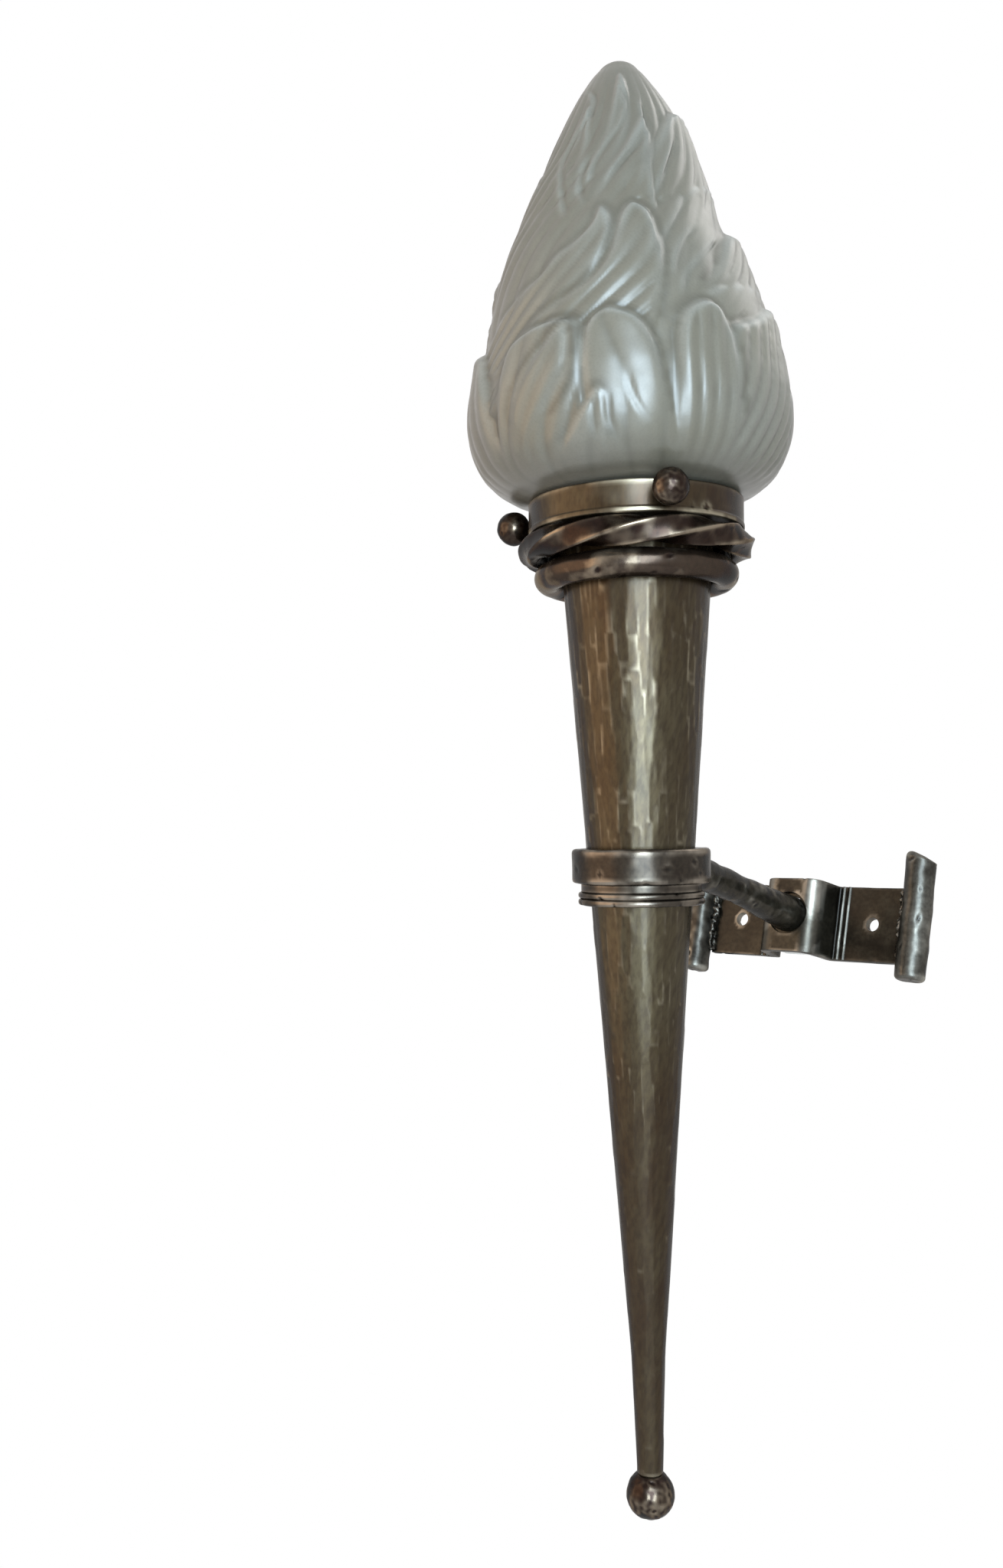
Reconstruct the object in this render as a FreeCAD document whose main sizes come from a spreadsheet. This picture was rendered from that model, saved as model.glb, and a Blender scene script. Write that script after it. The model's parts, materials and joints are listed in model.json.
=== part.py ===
"""A forged torch sconce: a wall strap, an arm and a ring that hold a tapering hollow torch,
with a gallery on top in which three ball-headed screws hold a glass flame over a lamp bulb.

Lengths are in millimetres and angles in degrees. The origin is the middle of the wall
strap in the plane of the wall. X runs along the strap, Y into the wall, and Z up.

Two working frames carry the pieces:
  ArmFrame    starts at the wall, and its Z axis runs out along the arm;
  TorchFrame  starts in the middle of the collar band, and its Z axis runs up the torch.
"""
import FreeCAD
import Part
import Sketcher
import math
import operator
import os

SIZES = {
    # wall strap: a flat bar with a hollow bump in its middle
    "strap_half_length": 51.8,
    "strap_height": 35.5,
    "strap_thick": 4.0,
    "bump_depth": 21.5,
    "bump_foot_half_width": 17.0,
    "bump_crest_half_width": 14.0,
    "bump_corner_radius": 8.0,
    "bump_crease_radius": 1.0,
    "wall_hole_spacing": 71.4,
    "wall_hole_radius": 3.3,
    "arm_hole_radius": 10.2,
    # round bars welded across the ends of the strap
    "end_bar_radius": 7.0,
    "end_bar_spacing": 117.0,
    "end_bar_edge_round": 3.0,
    "left_bar_above": 9.0,
    "left_bar_below": 10.0,
    "right_bar_above": 18.0,
    "right_bar_below": 8.0,
    "bar_weld_radius": 2.4,
    "bar_weld_length": 34.0,
    # arm: a round tube, waisted between its ends
    "arm_rise": 1.1,
    "arm_height": 0.3,
    "arm_reach": 112.1,
    "arm_wall_end": 13.0,
    "arm_root_radius": 8.75,
    "arm_root_length": 9.0,
    "arm_waist_radius": 6.75,
    "arm_waist_distance": 66.0,
    "arm_collar_radius": 7.5,
    "arm_saddle_length": 5.0,
    "arm_bore_radius": 4.0,
    "arm_weld_radius": 12.5,
    "arm_weld_length": 5.0,
    # torch: a long hollow cone that sits in the collar by its taper
    "torch_lean": 15.5,
    "cone_top": 138.7,
    "cone_mouth_radius": 32.5,
    "cone_knee_depth": 202.4,
    "cone_knee_radius": 7.1,
    "cone_tip_depth": 249.9,
    "cone_tip_radius": 5.4,
    "cone_wall": 1.6,
    "cone_hollow_depth": 198.0,
    "stud_radius": 2.5,
    "stud_length": 26.0,
    "stud_in_cone": 14.0,
    "finial_radius": 9.9,
    "finial_centre_drop": 8.5,
    # collar and the rings under it
    "collar_radius": 28.8,
    "collar_height": 14.4,
    "collar_edge_round": 1.6,
    "seat_ring_radius": 25.0,
    "seat_ring_height": 3.4,
    "retaining_ring_radius": 26.3,
    "retaining_ring_height": 2.75,
    "retaining_ring_round": 1.2,
    # rings under the gallery
    "round_ring_bar_radius": 5.93,
    "round_ring_bite": 0.3,
    "round_ring_drop": 18.1,
    "twisted_bar_side": 9.2,
    "twisted_ring_radius": 43.6,
    "twisted_quarter_turns": 9,
    # gallery
    "gallery_radius": 45.0,
    "gallery_height": 13.3,
    "gallery_wall": 1.5,
    "gallery_floor": 1.5,
    "gallery_lip": 0.8,
    "gallery_lip_height": 1.2,
    "gasket_thick": 1.0,
    "gasket_width": 6.0,
    "gasket_edge_beyond_neck": 1.0,
    # ball-headed screws
    "screw_count": 3,
    "first_screw_angle": -38.95,
    "screw_rise": 7.4,
    "screw_radius": 2.0,
    "screw_ball_radius": 7.26,
    "screw_ball_distance": 54.8,
    "screw_tip_gap": 0.3,
    "screw_running_gap": 0.05,
    # glass flame
    "glass_neck_radius": 40.0,
    "glass_neck_rise": 15.5,
    "glass_wall": 3.0,
    "flame_sway_angle": 42.4,
    # lamp bridge, nipple and nuts
    "bridge_drop": 9.7,
    "bridge_thick": 3.0,
    "bridge_width": 16.0,
    "nipple_radius": 5.0,
    "nipple_bore_radius": 4.0,
    "nipple_foot_drop": 17.7,
    "nipple_rise": 6.7,
    "nut_across_corners": 16.2,
    "nut_thick": 3.0,
    # lampholder
    "holder_cap_radius": 19.5,
    "holder_cap_height": 16.8,
    "holder_cap_wall": 2.0,
    "holder_skirt_radius": 21.0,
    "holder_skirt_overlap": 9.0,
    "holder_skirt_rise": 51.3,
    "holder_skirt_wall": 3.0,
    "holder_skirt_bore": 15.4,
    "insulator_rise": 14.5,
    "insulator_thick": 5.0,
    "thread_shell_radius": 13.1,
    "thread_shell_wall": 0.6,
    "thread_shell_rise": 49.3,
    "holder_contact_radius": 3.5,
    "holder_contact_rise": 22.8,
    "holder_screw_spread": 7.0,
    "holder_screw_head_radius": 2.5,
    "holder_screw_head_thick": 2.4,
    # bulb
    "bulb_radius": 29.0,
    "bulb_middle_rise": 100.3,
    "bulb_shoulder_angle": 25.0,
    "bulb_neck_radius": 12.5,
    "bulb_neck_rise": 33.3,
    "bulb_glass_wall": 1.0,
    "bulb_cap_radius": 13.0,
    "bulb_cap_wall": 0.5,
    "bulb_cap_foot_rise": 27.3,
    "bulb_cap_rise": 51.3,
    "bulb_seal_thick": 1.5,
    "bulb_contact_radius": 4.5,
    "bulb_contact_thick": 1.0,
    "bulb_stem_radius": 4.0,
    "bulb_stem_flange_radius": 8.5,
    "bulb_stem_flange_thick": 1.2,
    "bulb_stem_rise": 76.3,
    "filament_count": 4,
    "filament_circle": 6.5,
    "filament_radius": 0.9,
    "filament_length": 36.0,
    # leads and terminals
    "lead_radius": 1.0,
    "lead_side_offset": 1.3,
    "lead_drop_offset": 0.75,
    "earth_lead_offset": 1.45,
    "lead_bend_radius": 16.0,
    "lead_small_bend_radius": 3.0,
    "earth_lead_bend_radius": 9.0,
    "lead_tail": 2.4,
    "lead_flare_rise": 6.2,
    "earth_screw_offset": 13.0,
    "earth_screw_radius": 2.0,
    "earth_screw_head_radius": 3.5,
    "earth_screw_head_thick": 2.6,
    "earth_lead_drop": 14.0,
    "block_width": 17.0,
    "block_depth": 8.0,
    "block_height": 10.0,
    "block_wall_gap": 3.0,
    "block_below_arm": 6.0,
    "block_pole_spacing": 5.4,
    "block_screw_radius": 1.5,
    "block_screw_height": 2.0,
}

# glass flame, from its foot to its tip: height above the torch's mouth, radius, sideways sway
FLAME_SECTIONS = [
    (14.9, 47.0, -1.0),
    (18.7, 56.5, -1.5),
    (27.3, 64.0, -2.0),
    (42.3, 68.5, -2.0),
    (61.3, 66.5, -1.5),
    (83.3, 62.5, -0.5),
    (107.3, 54.5, -2.0),
    (131.3, 44.0, -2.5),
    (155.3, 33.0, -3.0),
    (175.3, 23.5, -4.0),
    (190.3, 14.0, -4.5),
    (200.8, 4.0, -4.5),
]
OPERATIONS = {"+": operator.add, "-": operator.sub, "*": operator.mul, "/": operator.truediv}


class Size:
    """A length that knows its number and the sheet formula that it comes from."""

    def __init__(self, number, formula):
        self.number = float(number)
        self.formula = formula

    def __add__(self, other):
        return joined(self, "+", other)

    def __radd__(self, other):
        return joined(other, "+", self)

    def __sub__(self, other):
        return joined(self, "-", other)

    def __rsub__(self, other):
        return joined(other, "-", self)

    def __mul__(self, other):
        return joined(self, "*", other)

    def __rmul__(self, other):
        return joined(other, "*", self)

    def __truediv__(self, other):
        return joined(self, "/", other)

    def __rtruediv__(self, other):
        return joined(other, "/", self)

    def __neg__(self):
        return joined(0, "-", self)


def as_size(value):
    return value if isinstance(value, Size) else Size(value, repr(value))


def joined(left, sign, right):
    left, right = as_size(left), as_size(right)
    number = OPERATIONS[sign](left.number, right.number)
    return Size(number, f"({left.formula} {sign} {right.formula})")


def make_sheet(doc):
    """Write every size into the sheet and return the sizes by name."""
    sheet = doc.addObject("Spreadsheet::Sheet", "Sizes")
    cells = dict(SIZES)
    for number, (height, radius, sway) in enumerate(FLAME_SECTIONS, start=1):
        cells[f"flame_height_{number}"] = height
        cells[f"flame_radius_{number}"] = radius
        cells[f"flame_sway_{number}"] = sway
    for row, (name, value) in enumerate(cells.items(), start=1):
        sheet.set(f"A{row}", name)
        sheet.set(f"B{row}", str(value))
        sheet.setAlias(f"B{row}", name)
    doc.recompute()
    return {name: Size(value, f"Sizes.{name}") for name, value in cells.items()}


doc = FreeCAD.newDocument("torch_sconce")
size = make_sheet(doc)
nodes = []


# ---------------------------------------------------------------- drawing helpers

def bind(obj, path, value):
    """Tie one property of an object to the sheet."""
    obj.setExpression(path, as_size(value).formula)


def shaped(kind, name, **values):
    """One primitive of the document, each property tied to the sheet."""
    obj = doc.addObject(kind, name)
    for prop, value in values.items():
        bind(obj, prop, value)
    return obj


def placement(across, along, up, axis=(0, 0, 1), angle=0):
    """The sheet formula of a place: three lengths and a turn about an axis."""
    place = "; ".join(as_size(value).formula for value in (across, along, up))
    turn = "; ".join(str(value) for value in axis)
    return f"placement(vector({place}); rotation(vector({turn}); {as_size(angle).formula}))"


def put(obj, *places):
    """Stand an object in the product of the given frames and places."""
    obj.setExpression("Placement", " * ".join(places))
    return obj


def finish(obj, label):
    """Name a finished piece; its label becomes the name of its file."""
    obj.Label = label
    nodes.append(obj)
    return obj


def cut(name, base, tool):
    obj = doc.addObject("Part::Cut", name)
    obj.Base, obj.Tool = base, tool
    return obj


def common(name, base, tool):
    obj = doc.addObject("Part::Common", name)
    obj.Base, obj.Tool = base, tool
    return obj


def fuse(name, pieces):
    obj = doc.addObject("Part::MultiFuse", name)
    obj.Shapes = pieces
    return obj


def origin_plane(body, role):
    return next(plane for plane in body.Origin.OriginFeatures if plane.Role == role)


def new_sketch(body, role):
    sketch = body.newObject("Sketcher::SketchObject", body.Name + "_sketch")
    sketch.AttachmentSupport = [(origin_plane(body, role), "")]
    sketch.MapMode = "FlatFace"
    return sketch


def fix_corner(sketch, line, kind, axis, value):
    """Hold one coordinate of a line's first point on an axis or at a size."""
    value = as_size(value)
    if value.number == 0:
        sketch.addConstraint(Sketcher.Constraint("PointOnObject", line, 1, axis))
        return
    number = sketch.addConstraint(Sketcher.Constraint(kind, -1, 1, line, 1, value.number))
    sketch.setExpression(f"Constraints[{number}]", value.formula)


def draw_outline(sketch, corners):
    """A closed outline of straight lines through corners given as pairs of sizes."""
    points = [FreeCAD.Vector(as_size(a).number, as_size(b).number, 0) for a, b in corners]
    count = len(points)
    for line in range(count):
        sketch.addGeometry(Part.LineSegment(points[line], points[(line + 1) % count]))
    for line in range(count):
        sketch.addConstraint(Sketcher.Constraint("Coincident", line, 2, (line + 1) % count, 1))
    for line, (across, up) in enumerate(corners):
        fix_corner(sketch, line, "DistanceX", -2, across)
        fix_corner(sketch, line, "DistanceY", -1, up)


def turned(name, corners):
    """A body turned on the lathe: the outline gives radius and height."""
    body = doc.addObject("PartDesign::Body", name)
    sketch = new_sketch(body, "XZ_Plane")
    draw_outline(sketch, corners)
    feature = body.newObject("PartDesign::Revolution", name + "_turning")
    feature.Profile = sketch
    feature.ReferenceAxis = (sketch, ["V_Axis"])
    feature.Angle = 360
    sketch.Visibility = False
    return body


def rounded(body, radius, chosen):
    """Round the edges of a body that the test accepts."""
    doc.recompute()
    tip = body.Tip
    names = [f"Edge{number}" for number, edge in enumerate(tip.Shape.Edges, start=1) if chosen(edge)]
    feature = body.newObject("PartDesign::Fillet", f"{body.Name}_round_{len(body.Group)}")
    feature.Base = (tip, names)
    bind(feature, "Radius", radius)
    return body


def is_circle(edge, radius):
    """True for a full circle about the turning axis with at least this radius."""
    curve = edge.Curve
    return curve.TypeId == "Part::GeomCircle" and curve.Radius > as_size(radius).number


def cylinder(name, radius, height):
    return shaped("Part::Cylinder", name, Radius=radius, Height=height)


def tube(name, outer, inner, foot, top):
    """A turned ring of rectangular section."""
    return turned(name, [(inner, foot), (outer, foot), (outer, top), (inner, top)])


# ---------------------------------------------------------------- frames

arm_frame = doc.addObject("App::Placement", "ArmFrame")
put(arm_frame, placement(0, 0, size["arm_height"], axis=(1, 0, 0), angle=90 - size["arm_rise"]))
torch_frame = doc.addObject("App::Placement", "TorchFrame")
put(torch_frame, "ArmFrame.Placement",
    placement(0, 0, size["arm_reach"], axis=(1, 0, 0),
              angle=size["torch_lean"] + size["arm_rise"] - 90),
    placement(0, -size["collar_radius"], 0))
ARM = "ArmFrame.Placement"
TORCH = "TorchFrame.Placement"
ALONG_Y = {"axis": (1, 0, 0), "angle": 90}


# ---------------------------------------------------------------- wall bracket

def build_wall_strap():
    """A flat bar bent out into a hollow bump, with two wall holes and the arm's hole."""
    half, thick = size["strap_half_length"], size["strap_thick"]
    foot, crest = size["bump_foot_half_width"], size["bump_crest_half_width"]
    depth = size["bump_depth"]
    body = doc.addObject("PartDesign::Body", "strap_bar")
    sketch = new_sketch(body, "XY_Plane")
    front = [(-half, -thick), (-foot, -thick), (-crest, -depth),
             (crest, -depth), (foot, -thick), (half, -thick)]
    back = [(half, 0), (foot - thick, 0), (crest - thick, thick - depth),
            (thick - crest, thick - depth), (thick - foot, 0), (-half, 0)]
    draw_outline(sketch, front + back)
    pad = body.newObject("PartDesign::Pad", "strap_pad")
    pad.Profile = sketch
    bind(pad, "Length", size["strap_height"])
    sketch.Visibility = False

    def bend_at(across, along):
        across, along = as_size(across).number, as_size(along).number

        def test(edge):
            start, end = edge.Vertexes[0].Point, edge.Vertexes[-1].Point
            upright = abs(start.x - end.x) + abs(start.y - end.y) < 1e-6
            return upright and abs(abs(start.x) - across) < 1e-3 and abs(start.y - along) < 1e-3
        return test

    rounded(body, size["bump_corner_radius"], bend_at(crest, -depth))
    rounded(body, size["bump_corner_radius"] - thick, bend_at(crest - thick, thick - depth))
    rounded(body, size["bump_crease_radius"], bend_at(foot, -thick))
    rounded(body, size["bump_crease_radius"] + thick / 2, bend_at(foot - thick, 0))
    put(body, placement(0, 0, -size["strap_height"] / 2))

    drills = []
    for name, side in (("left", -1), ("right", 1)):
        drill = cylinder(f"wall_drill_{name}", size["wall_hole_radius"], 3 * thick)
        put(drill, placement(side * size["wall_hole_spacing"] / 2, thick, 0, **ALONG_Y))
        drills.append(drill)
    drill = cylinder("arm_drill", size["arm_hole_radius"], 3 * thick)
    drills.append(put(drill, ARM, placement(0, 0, depth - 2 * thick)))
    return finish(cut("strap_drilled", body, fuse("strap_drills", drills)), "wall_strap")


def build_end_bar(side, sign, above, below):
    """A round forged bar that stands across one end of the strap, flat to the wall."""
    half = size["strap_height"] / 2
    radius = size["end_bar_radius"]
    body = turned(f"{side}_bar", [(0, -half - below), (radius, -half - below),
                                  (radius, half + above), (0, half + above)])
    rounded(body, size["end_bar_edge_round"], lambda edge: is_circle(edge, radius / 2))
    put(body, placement(sign * size["end_bar_spacing"] / 2, -radius, 0))
    return finish(body, f"end_bar_{side}")


def build_end_bar_welds(strap, bars):
    """One weld bead in each corner between the strap's face and an end bar."""
    beads = []
    for name, sign in (("left", -1), ("right", 1)):
        bead = cylinder(f"weld_{name}", size["bar_weld_radius"], size["bar_weld_length"])
        put(bead, placement(sign * size["strap_half_length"],
                            -size["strap_thick"] - size["bar_weld_radius"] / 2,
                            -size["bar_weld_length"] / 2))
        beads.append(bead)
    beads = cut("welds_off_strap", fuse("weld_pair", beads), strap)
    return finish(cut("welds_off_bars", beads, fuse("bar_pair", bars)), "end_bar_welds")


def build_arm():
    """A waisted round tube, saddle-cut to the collar and open to the bump's hollow."""
    stations = [
        (size["arm_wall_end"], size["arm_root_radius"]),
        (size["arm_wall_end"] + size["arm_root_length"], size["arm_root_radius"]),
        (size["arm_waist_distance"], size["arm_waist_radius"]),
        (size["arm_reach"], size["arm_collar_radius"]),
        (size["arm_reach"] + size["arm_saddle_length"], size["arm_collar_radius"]),
    ]
    rings = []
    for number, (distance, radius) in enumerate(stations, start=1):
        ring = shaped("Part::Circle", f"arm_ring_{number}", Radius=radius)
        rings.append(put(ring, ARM, placement(0, 0, distance)))
    loft = doc.addObject("Part::Loft", "arm_forging")
    loft.Sections, loft.Solid, loft.Ruled = rings, True, False
    saddle = cylinder("arm_saddle", size["collar_radius"], 4 * size["collar_height"])
    put(saddle, TORCH, placement(0, 0, -2 * size["collar_height"]))
    return finish(cut("arm_bored", cut("arm_saddled", loft, saddle), lead_bore), "arm")


def build_arm_weld(strap, arm):
    """The bead behind the bump's crown that ties the arm to the strap."""
    start = size["bump_depth"] - size["strap_thick"] / 2 - size["arm_weld_length"]
    bead = cylinder("arm_bead", size["arm_weld_radius"], size["arm_weld_length"])
    put(bead, ARM, placement(0, 0, start))
    bead = cut("arm_bead_off_strap", bead, strap)
    bead = cut("arm_bead_off_arm", bead, arm)
    return finish(cut("arm_bead_open", bead, lead_bore), "arm_weld")


# ---------------------------------------------------------------- torch and its rings

def above_mouth(name):
    """A height in the torch frame, from a size counted up from the torch's mouth."""
    return size["cone_top"] + size[name]


def below_mouth(name):
    """A height in the torch frame, from a size counted down from the torch's mouth."""
    return size["cone_top"] - size[name]


def cone_radius(height):
    """The torch's outer radius at a height above the collar's middle."""
    top, knee = size["cone_top"], -size["cone_knee_depth"]
    slope = (size["cone_mouth_radius"] - size["cone_knee_radius"]) / (top - knee)
    return size["cone_mouth_radius"] - slope * (top - height)


def build_torch_cone():
    """The long hollow torch, closed below by a plug that takes the finial's stud."""
    top, hollow, tip = size["cone_top"], -size["cone_hollow_depth"], -size["cone_tip_depth"]
    wall, stud = size["cone_wall"], size["stud_radius"]
    socket = tip + size["stud_in_cone"]
    body = turned("cone_shell", [
        (size["cone_mouth_radius"], top), (size["cone_knee_radius"], -size["cone_knee_depth"]),
        (size["cone_tip_radius"], tip), (stud, tip), (stud, socket), (0, socket), (0, hollow),
        (cone_radius(hollow) - wall, hollow), (size["cone_mouth_radius"] - wall, top)])
    put(body, TORCH)
    return finish(cut("cone_bored", body, lead_bore), "torch_cone")


def build_finial():
    """The ball under the torch and the stud that joins the two."""
    seat = -size["cone_tip_depth"]
    ball = shaped("Part::Sphere", "finial_sphere", Radius=size["finial_radius"])
    put(ball, placement(0, 0, seat - size["finial_centre_drop"]))
    above = cylinder("finial_flat", size["finial_radius"], size["finial_radius"])
    put(above, placement(0, 0, seat))
    stud_foot = seat + size["stud_in_cone"] - size["stud_length"]
    drill = cylinder("finial_drill", size["stud_radius"], size["stud_length"])
    put(drill, placement(0, 0, stud_foot))
    ball = cut("finial_bored", ball, fuse("finial_tools", [above, drill]))
    finish(put(ball, TORCH), "finial_ball")
    stud = cylinder("stud", size["stud_radius"], size["stud_length"])
    finish(put(stud, TORCH, placement(0, 0, stud_foot)), "finial_stud")


def tapered_ring(name, radius, foot, top):
    """A ring whose bore follows the torch's taper."""
    return turned(name, [(cone_radius(foot), foot), (radius, foot),
                         (radius, top), (cone_radius(top), top)])


def build_collar():
    """The forged band that carries the torch, and the three rings under it."""
    half = size["collar_height"] / 2
    outer = size["collar_radius"]
    band = tapered_ring("collar_forging", outer, -half, half)
    rounded(band, size["collar_edge_round"], lambda edge: is_circle(edge, outer - 0.1))
    put(band, TORCH)
    finish(cut("collar_bored", band, lead_bore), "collar_band")

    seat_foot = -half - size["seat_ring_height"]
    seat = tapered_ring("seat_ring", size["seat_ring_radius"], seat_foot, -half)
    finish(put(seat, TORCH), "collar_seat_ring")

    outer = size["retaining_ring_radius"]
    for number, name in enumerate(("upper", "lower")):
        top = seat_foot - number * size["retaining_ring_height"]
        ring = tapered_ring(f"{name}_ring", outer, top - size["retaining_ring_height"], top)
        rounded(ring, size["retaining_ring_round"], lambda edge: is_circle(edge, outer - 0.1))
        finish(put(ring, TORCH), f"retaining_ring_{name}")


def build_round_ring(cone):
    """A ring of round bar close about the torch's mouth."""
    bar_radius = size["round_ring_bar_radius"]
    radius = cone_radius(below_mouth("round_ring_drop")) + bar_radius - size["round_ring_bite"]
    ring = shaped("Part::Torus", "round_bar", Radius1=radius, Radius2=bar_radius)
    put(ring, TORCH, placement(0, 0, below_mouth("round_ring_drop")))
    return finish(cut("round_bar_fitted", ring, cone), "round_ring")


def build_twisted_ring():
    """A ring of square bar, twisted as it goes round, under the gallery's floor."""
    half_side = size["twisted_bar_side"].number / 2
    reach = math.hypot(half_side, half_side)
    radius = size["twisted_ring_radius"].number
    height = size["cone_top"].number - reach
    quarter_turns = int(size["twisted_quarter_turns"].number)
    steps = 8 * quarter_turns

    def section(step):
        round_angle = math.radians(360 * step / steps)
        twist = math.radians(90 * quarter_turns * step / steps)
        corners = []
        for corner in range(4):
            angle = twist + math.radians(90 * corner + 45)
            out = radius + reach * math.cos(angle)
            corners.append(FreeCAD.Vector(out * math.cos(round_angle), out * math.sin(round_angle),
                                          height + reach * math.sin(angle)))
        return Part.makePolygon(corners + corners[:1])

    third = steps // 3
    spans = [range(start, start + third + 1) for start in (0, third, 2 * third)]
    lofts = [Part.makeLoft([section(step) for step in span], True, True) for span in spans]
    ring = doc.addObject("Part::Feature", "twisted_bar")
    ring.Shape = lofts[0].multiFuse(lofts[1:])
    return finish(put(ring, TORCH), "twisted_ring")


def screw_place(number, *more):
    """The frame of one ball-headed screw: Z runs out along the screw from the torch's axis."""
    angle = size["first_screw_angle"] + 360 / size["screw_count"] * number
    return [TORCH, placement(0, 0, above_mouth("screw_rise"), angle=angle),
            placement(0, 0, 0, axis=(0, 1, 0), angle=90), *more]


def build_gallery():
    """The shallow cup on the torch that holds the glass, with its three tapped holes."""
    floor = size["cone_top"]
    outer, lip = size["gallery_radius"], size["gallery_radius"] + size["gallery_lip"]
    inner = outer - size["gallery_wall"]
    top, inside = floor + size["gallery_height"], floor + size["gallery_floor"]
    lip_top = floor + size["gallery_lip_height"]
    cup = turned("gallery_spinning", [
        (size["nipple_radius"], floor), (lip, floor), (lip, lip_top), (outer, lip_top),
        (outer, top), (inner, top), (inner, inside), (size["nipple_radius"], inside)])
    put(cup, TORCH)
    drills = []
    for number in range(int(size["screw_count"].number)):
        hole_radius = size["screw_radius"] + size["screw_running_gap"]
        drill = cylinder(f"screw_drill_{number + 1}", hole_radius, 3 * size["gallery_wall"])
        start = placement(0, 0, outer - 2 * size["gallery_wall"])
        drills.append(put(drill, *screw_place(number, start)))
    finish(cut("gallery_tapped", cup, fuse("screw_drills", drills)), "gallery_cup")

    edge = size["glass_neck_radius"] + size["gasket_edge_beyond_neck"]
    gasket = tube("gasket", edge, edge - size["gasket_width"], inside,
                  inside + size["gasket_thick"])
    finish(put(gasket, TORCH), "shade_gasket")


def build_thumbscrews():
    """Three screws with ball heads, whose tips stand at the glass neck."""
    tip = size["glass_neck_radius"] + size["screw_tip_gap"]
    for number in range(int(size["screw_count"].number)):
        shank = cylinder(f"shank_{number + 1}", size["screw_radius"],
                         size["screw_ball_distance"] - tip)
        put(shank, placement(0, 0, tip))
        ball = shaped("Part::Sphere", f"ball_{number + 1}", Radius=size["screw_ball_radius"])
        put(ball, placement(0, 0, size["screw_ball_distance"]))
        screw = fuse(f"ball_screw_{number + 1}", [shank, ball])
        finish(put(screw, *screw_place(number)), f"thumbscrew_{number + 1}")


# ---------------------------------------------------------------- glass flame

def flame_loft(name, inset, foot_drop):
    """The flame's rounded body through its sections, all drawn in by the inset."""
    rings = []
    last = len(FLAME_SECTIONS)
    for number in range(1, last + 1):
        height = above_mouth(f"flame_height_{number}")
        radius = size[f"flame_radius_{number}"] - inset
        if number == last:
            height, radius = height - inset, size[f"flame_radius_{number}"]
        if number == 1:
            height = height - foot_drop
        ring = shaped("Part::Circle", f"{name}_ring_{number}", Radius=radius)
        turn = placement(0, 0, height, angle=size["flame_sway_angle"])
        rings.append(put(ring, turn, placement(size[f"flame_sway_{number}"], 0, 0)))
    loft = doc.addObject("Part::Loft", name)
    loft.Sections, loft.Solid, loft.Ruled = rings, True, False
    return loft


def build_glass_shade():
    """The hollow glass flame on its plain round neck."""
    foot = size["cone_top"] + size["gallery_floor"] + size["gasket_thick"]
    neck_radius, wall = size["glass_neck_radius"], size["glass_wall"]
    neck = cylinder("neck", neck_radius, above_mouth("glass_neck_rise") - foot)
    put(neck, placement(0, 0, foot))
    bore = cylinder("neck_bore", neck_radius - wall, above_mouth("glass_neck_rise") + 2 * wall - foot)
    put(bore, placement(0, 0, foot))
    outside = fuse("flame_outside", [neck, flame_loft("flame_outer", 0, 0)])
    inside = fuse("flame_inside", [bore, flame_loft("flame_inner", wall, -wall)])
    return finish(put(cut("flame_hollow", outside, inside), TORCH), "glass_shade")


# ---------------------------------------------------------------- lampholder and bulb

def build_lamp_support(cone):
    """The bridge inside the torch, the hollow nipple and its two hexagon nuts."""
    top, thick = below_mouth("bridge_drop"), size["bridge_thick"]
    foot = top - thick
    bar = shaped("Part::Box", "bridge_bar", Length=size["bridge_width"],
                 Width=2 * size["cone_mouth_radius"], Height=thick)
    put(bar, placement(-size["bridge_width"] / 2, -size["cone_mouth_radius"], foot))
    wall = size["cone_wall"]
    inside = turned("bridge_limit", [(0, foot), (cone_radius(foot) - wall, foot),
                                     (cone_radius(top) - wall, top), (0, top)])
    bar = common("bridge_trimmed", bar, inside)
    nipple_hole = cylinder("bridge_tapping", size["nipple_radius"], thick)
    put(nipple_hole, placement(0, 0, foot))
    earth_hole = cylinder("bridge_earth_tapping", size["earth_screw_radius"], thick)
    put(earth_hole, placement(0, -size["earth_screw_offset"], foot))
    bridge = cut("bridge_tapped", bar, fuse("bridge_tools", [nipple_hole, earth_hole]))
    finish(put(bridge, TORCH), "cone_bridge")

    nipple = tube("nipple_tube", size["nipple_radius"], size["nipple_bore_radius"],
                  below_mouth("nipple_foot_drop"), above_mouth("nipple_rise"))
    finish(put(nipple, TORCH), "nipple")

    nuts = []
    seats = (("under_bridge", foot - size["nut_thick"]),
             ("on_gallery", size["cone_top"] + size["gallery_floor"]))
    for name, height in seats:
        blank = shaped("Part::Prism", f"nut_{name}", Circumradius=size["nut_across_corners"] / 2,
                       Height=size["nut_thick"])
        blank.Polygon = 6
        put(blank, placement(0, 0, height))
        tapping = cylinder(f"nut_tapping_{name}", size["nipple_radius"], size["nut_thick"])
        put(tapping, placement(0, 0, height))
        nuts.append(cut(f"nut_tapped_{name}", blank, tapping))
    finish(put(fuse("nut_pair", nuts), TORCH), "nipple_nuts")

    head = cylinder("earth_head", size["earth_screw_head_radius"], size["earth_screw_head_thick"])
    put(head, placement(0, -size["earth_screw_offset"], foot - size["earth_screw_head_thick"]))
    shank = cylinder("earth_shank", size["earth_screw_radius"], thick)
    put(shank, placement(0, -size["earth_screw_offset"], foot))
    finish(put(fuse("earth_screw_blank", [head, shank]), TORCH), "earth_screw")


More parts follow.
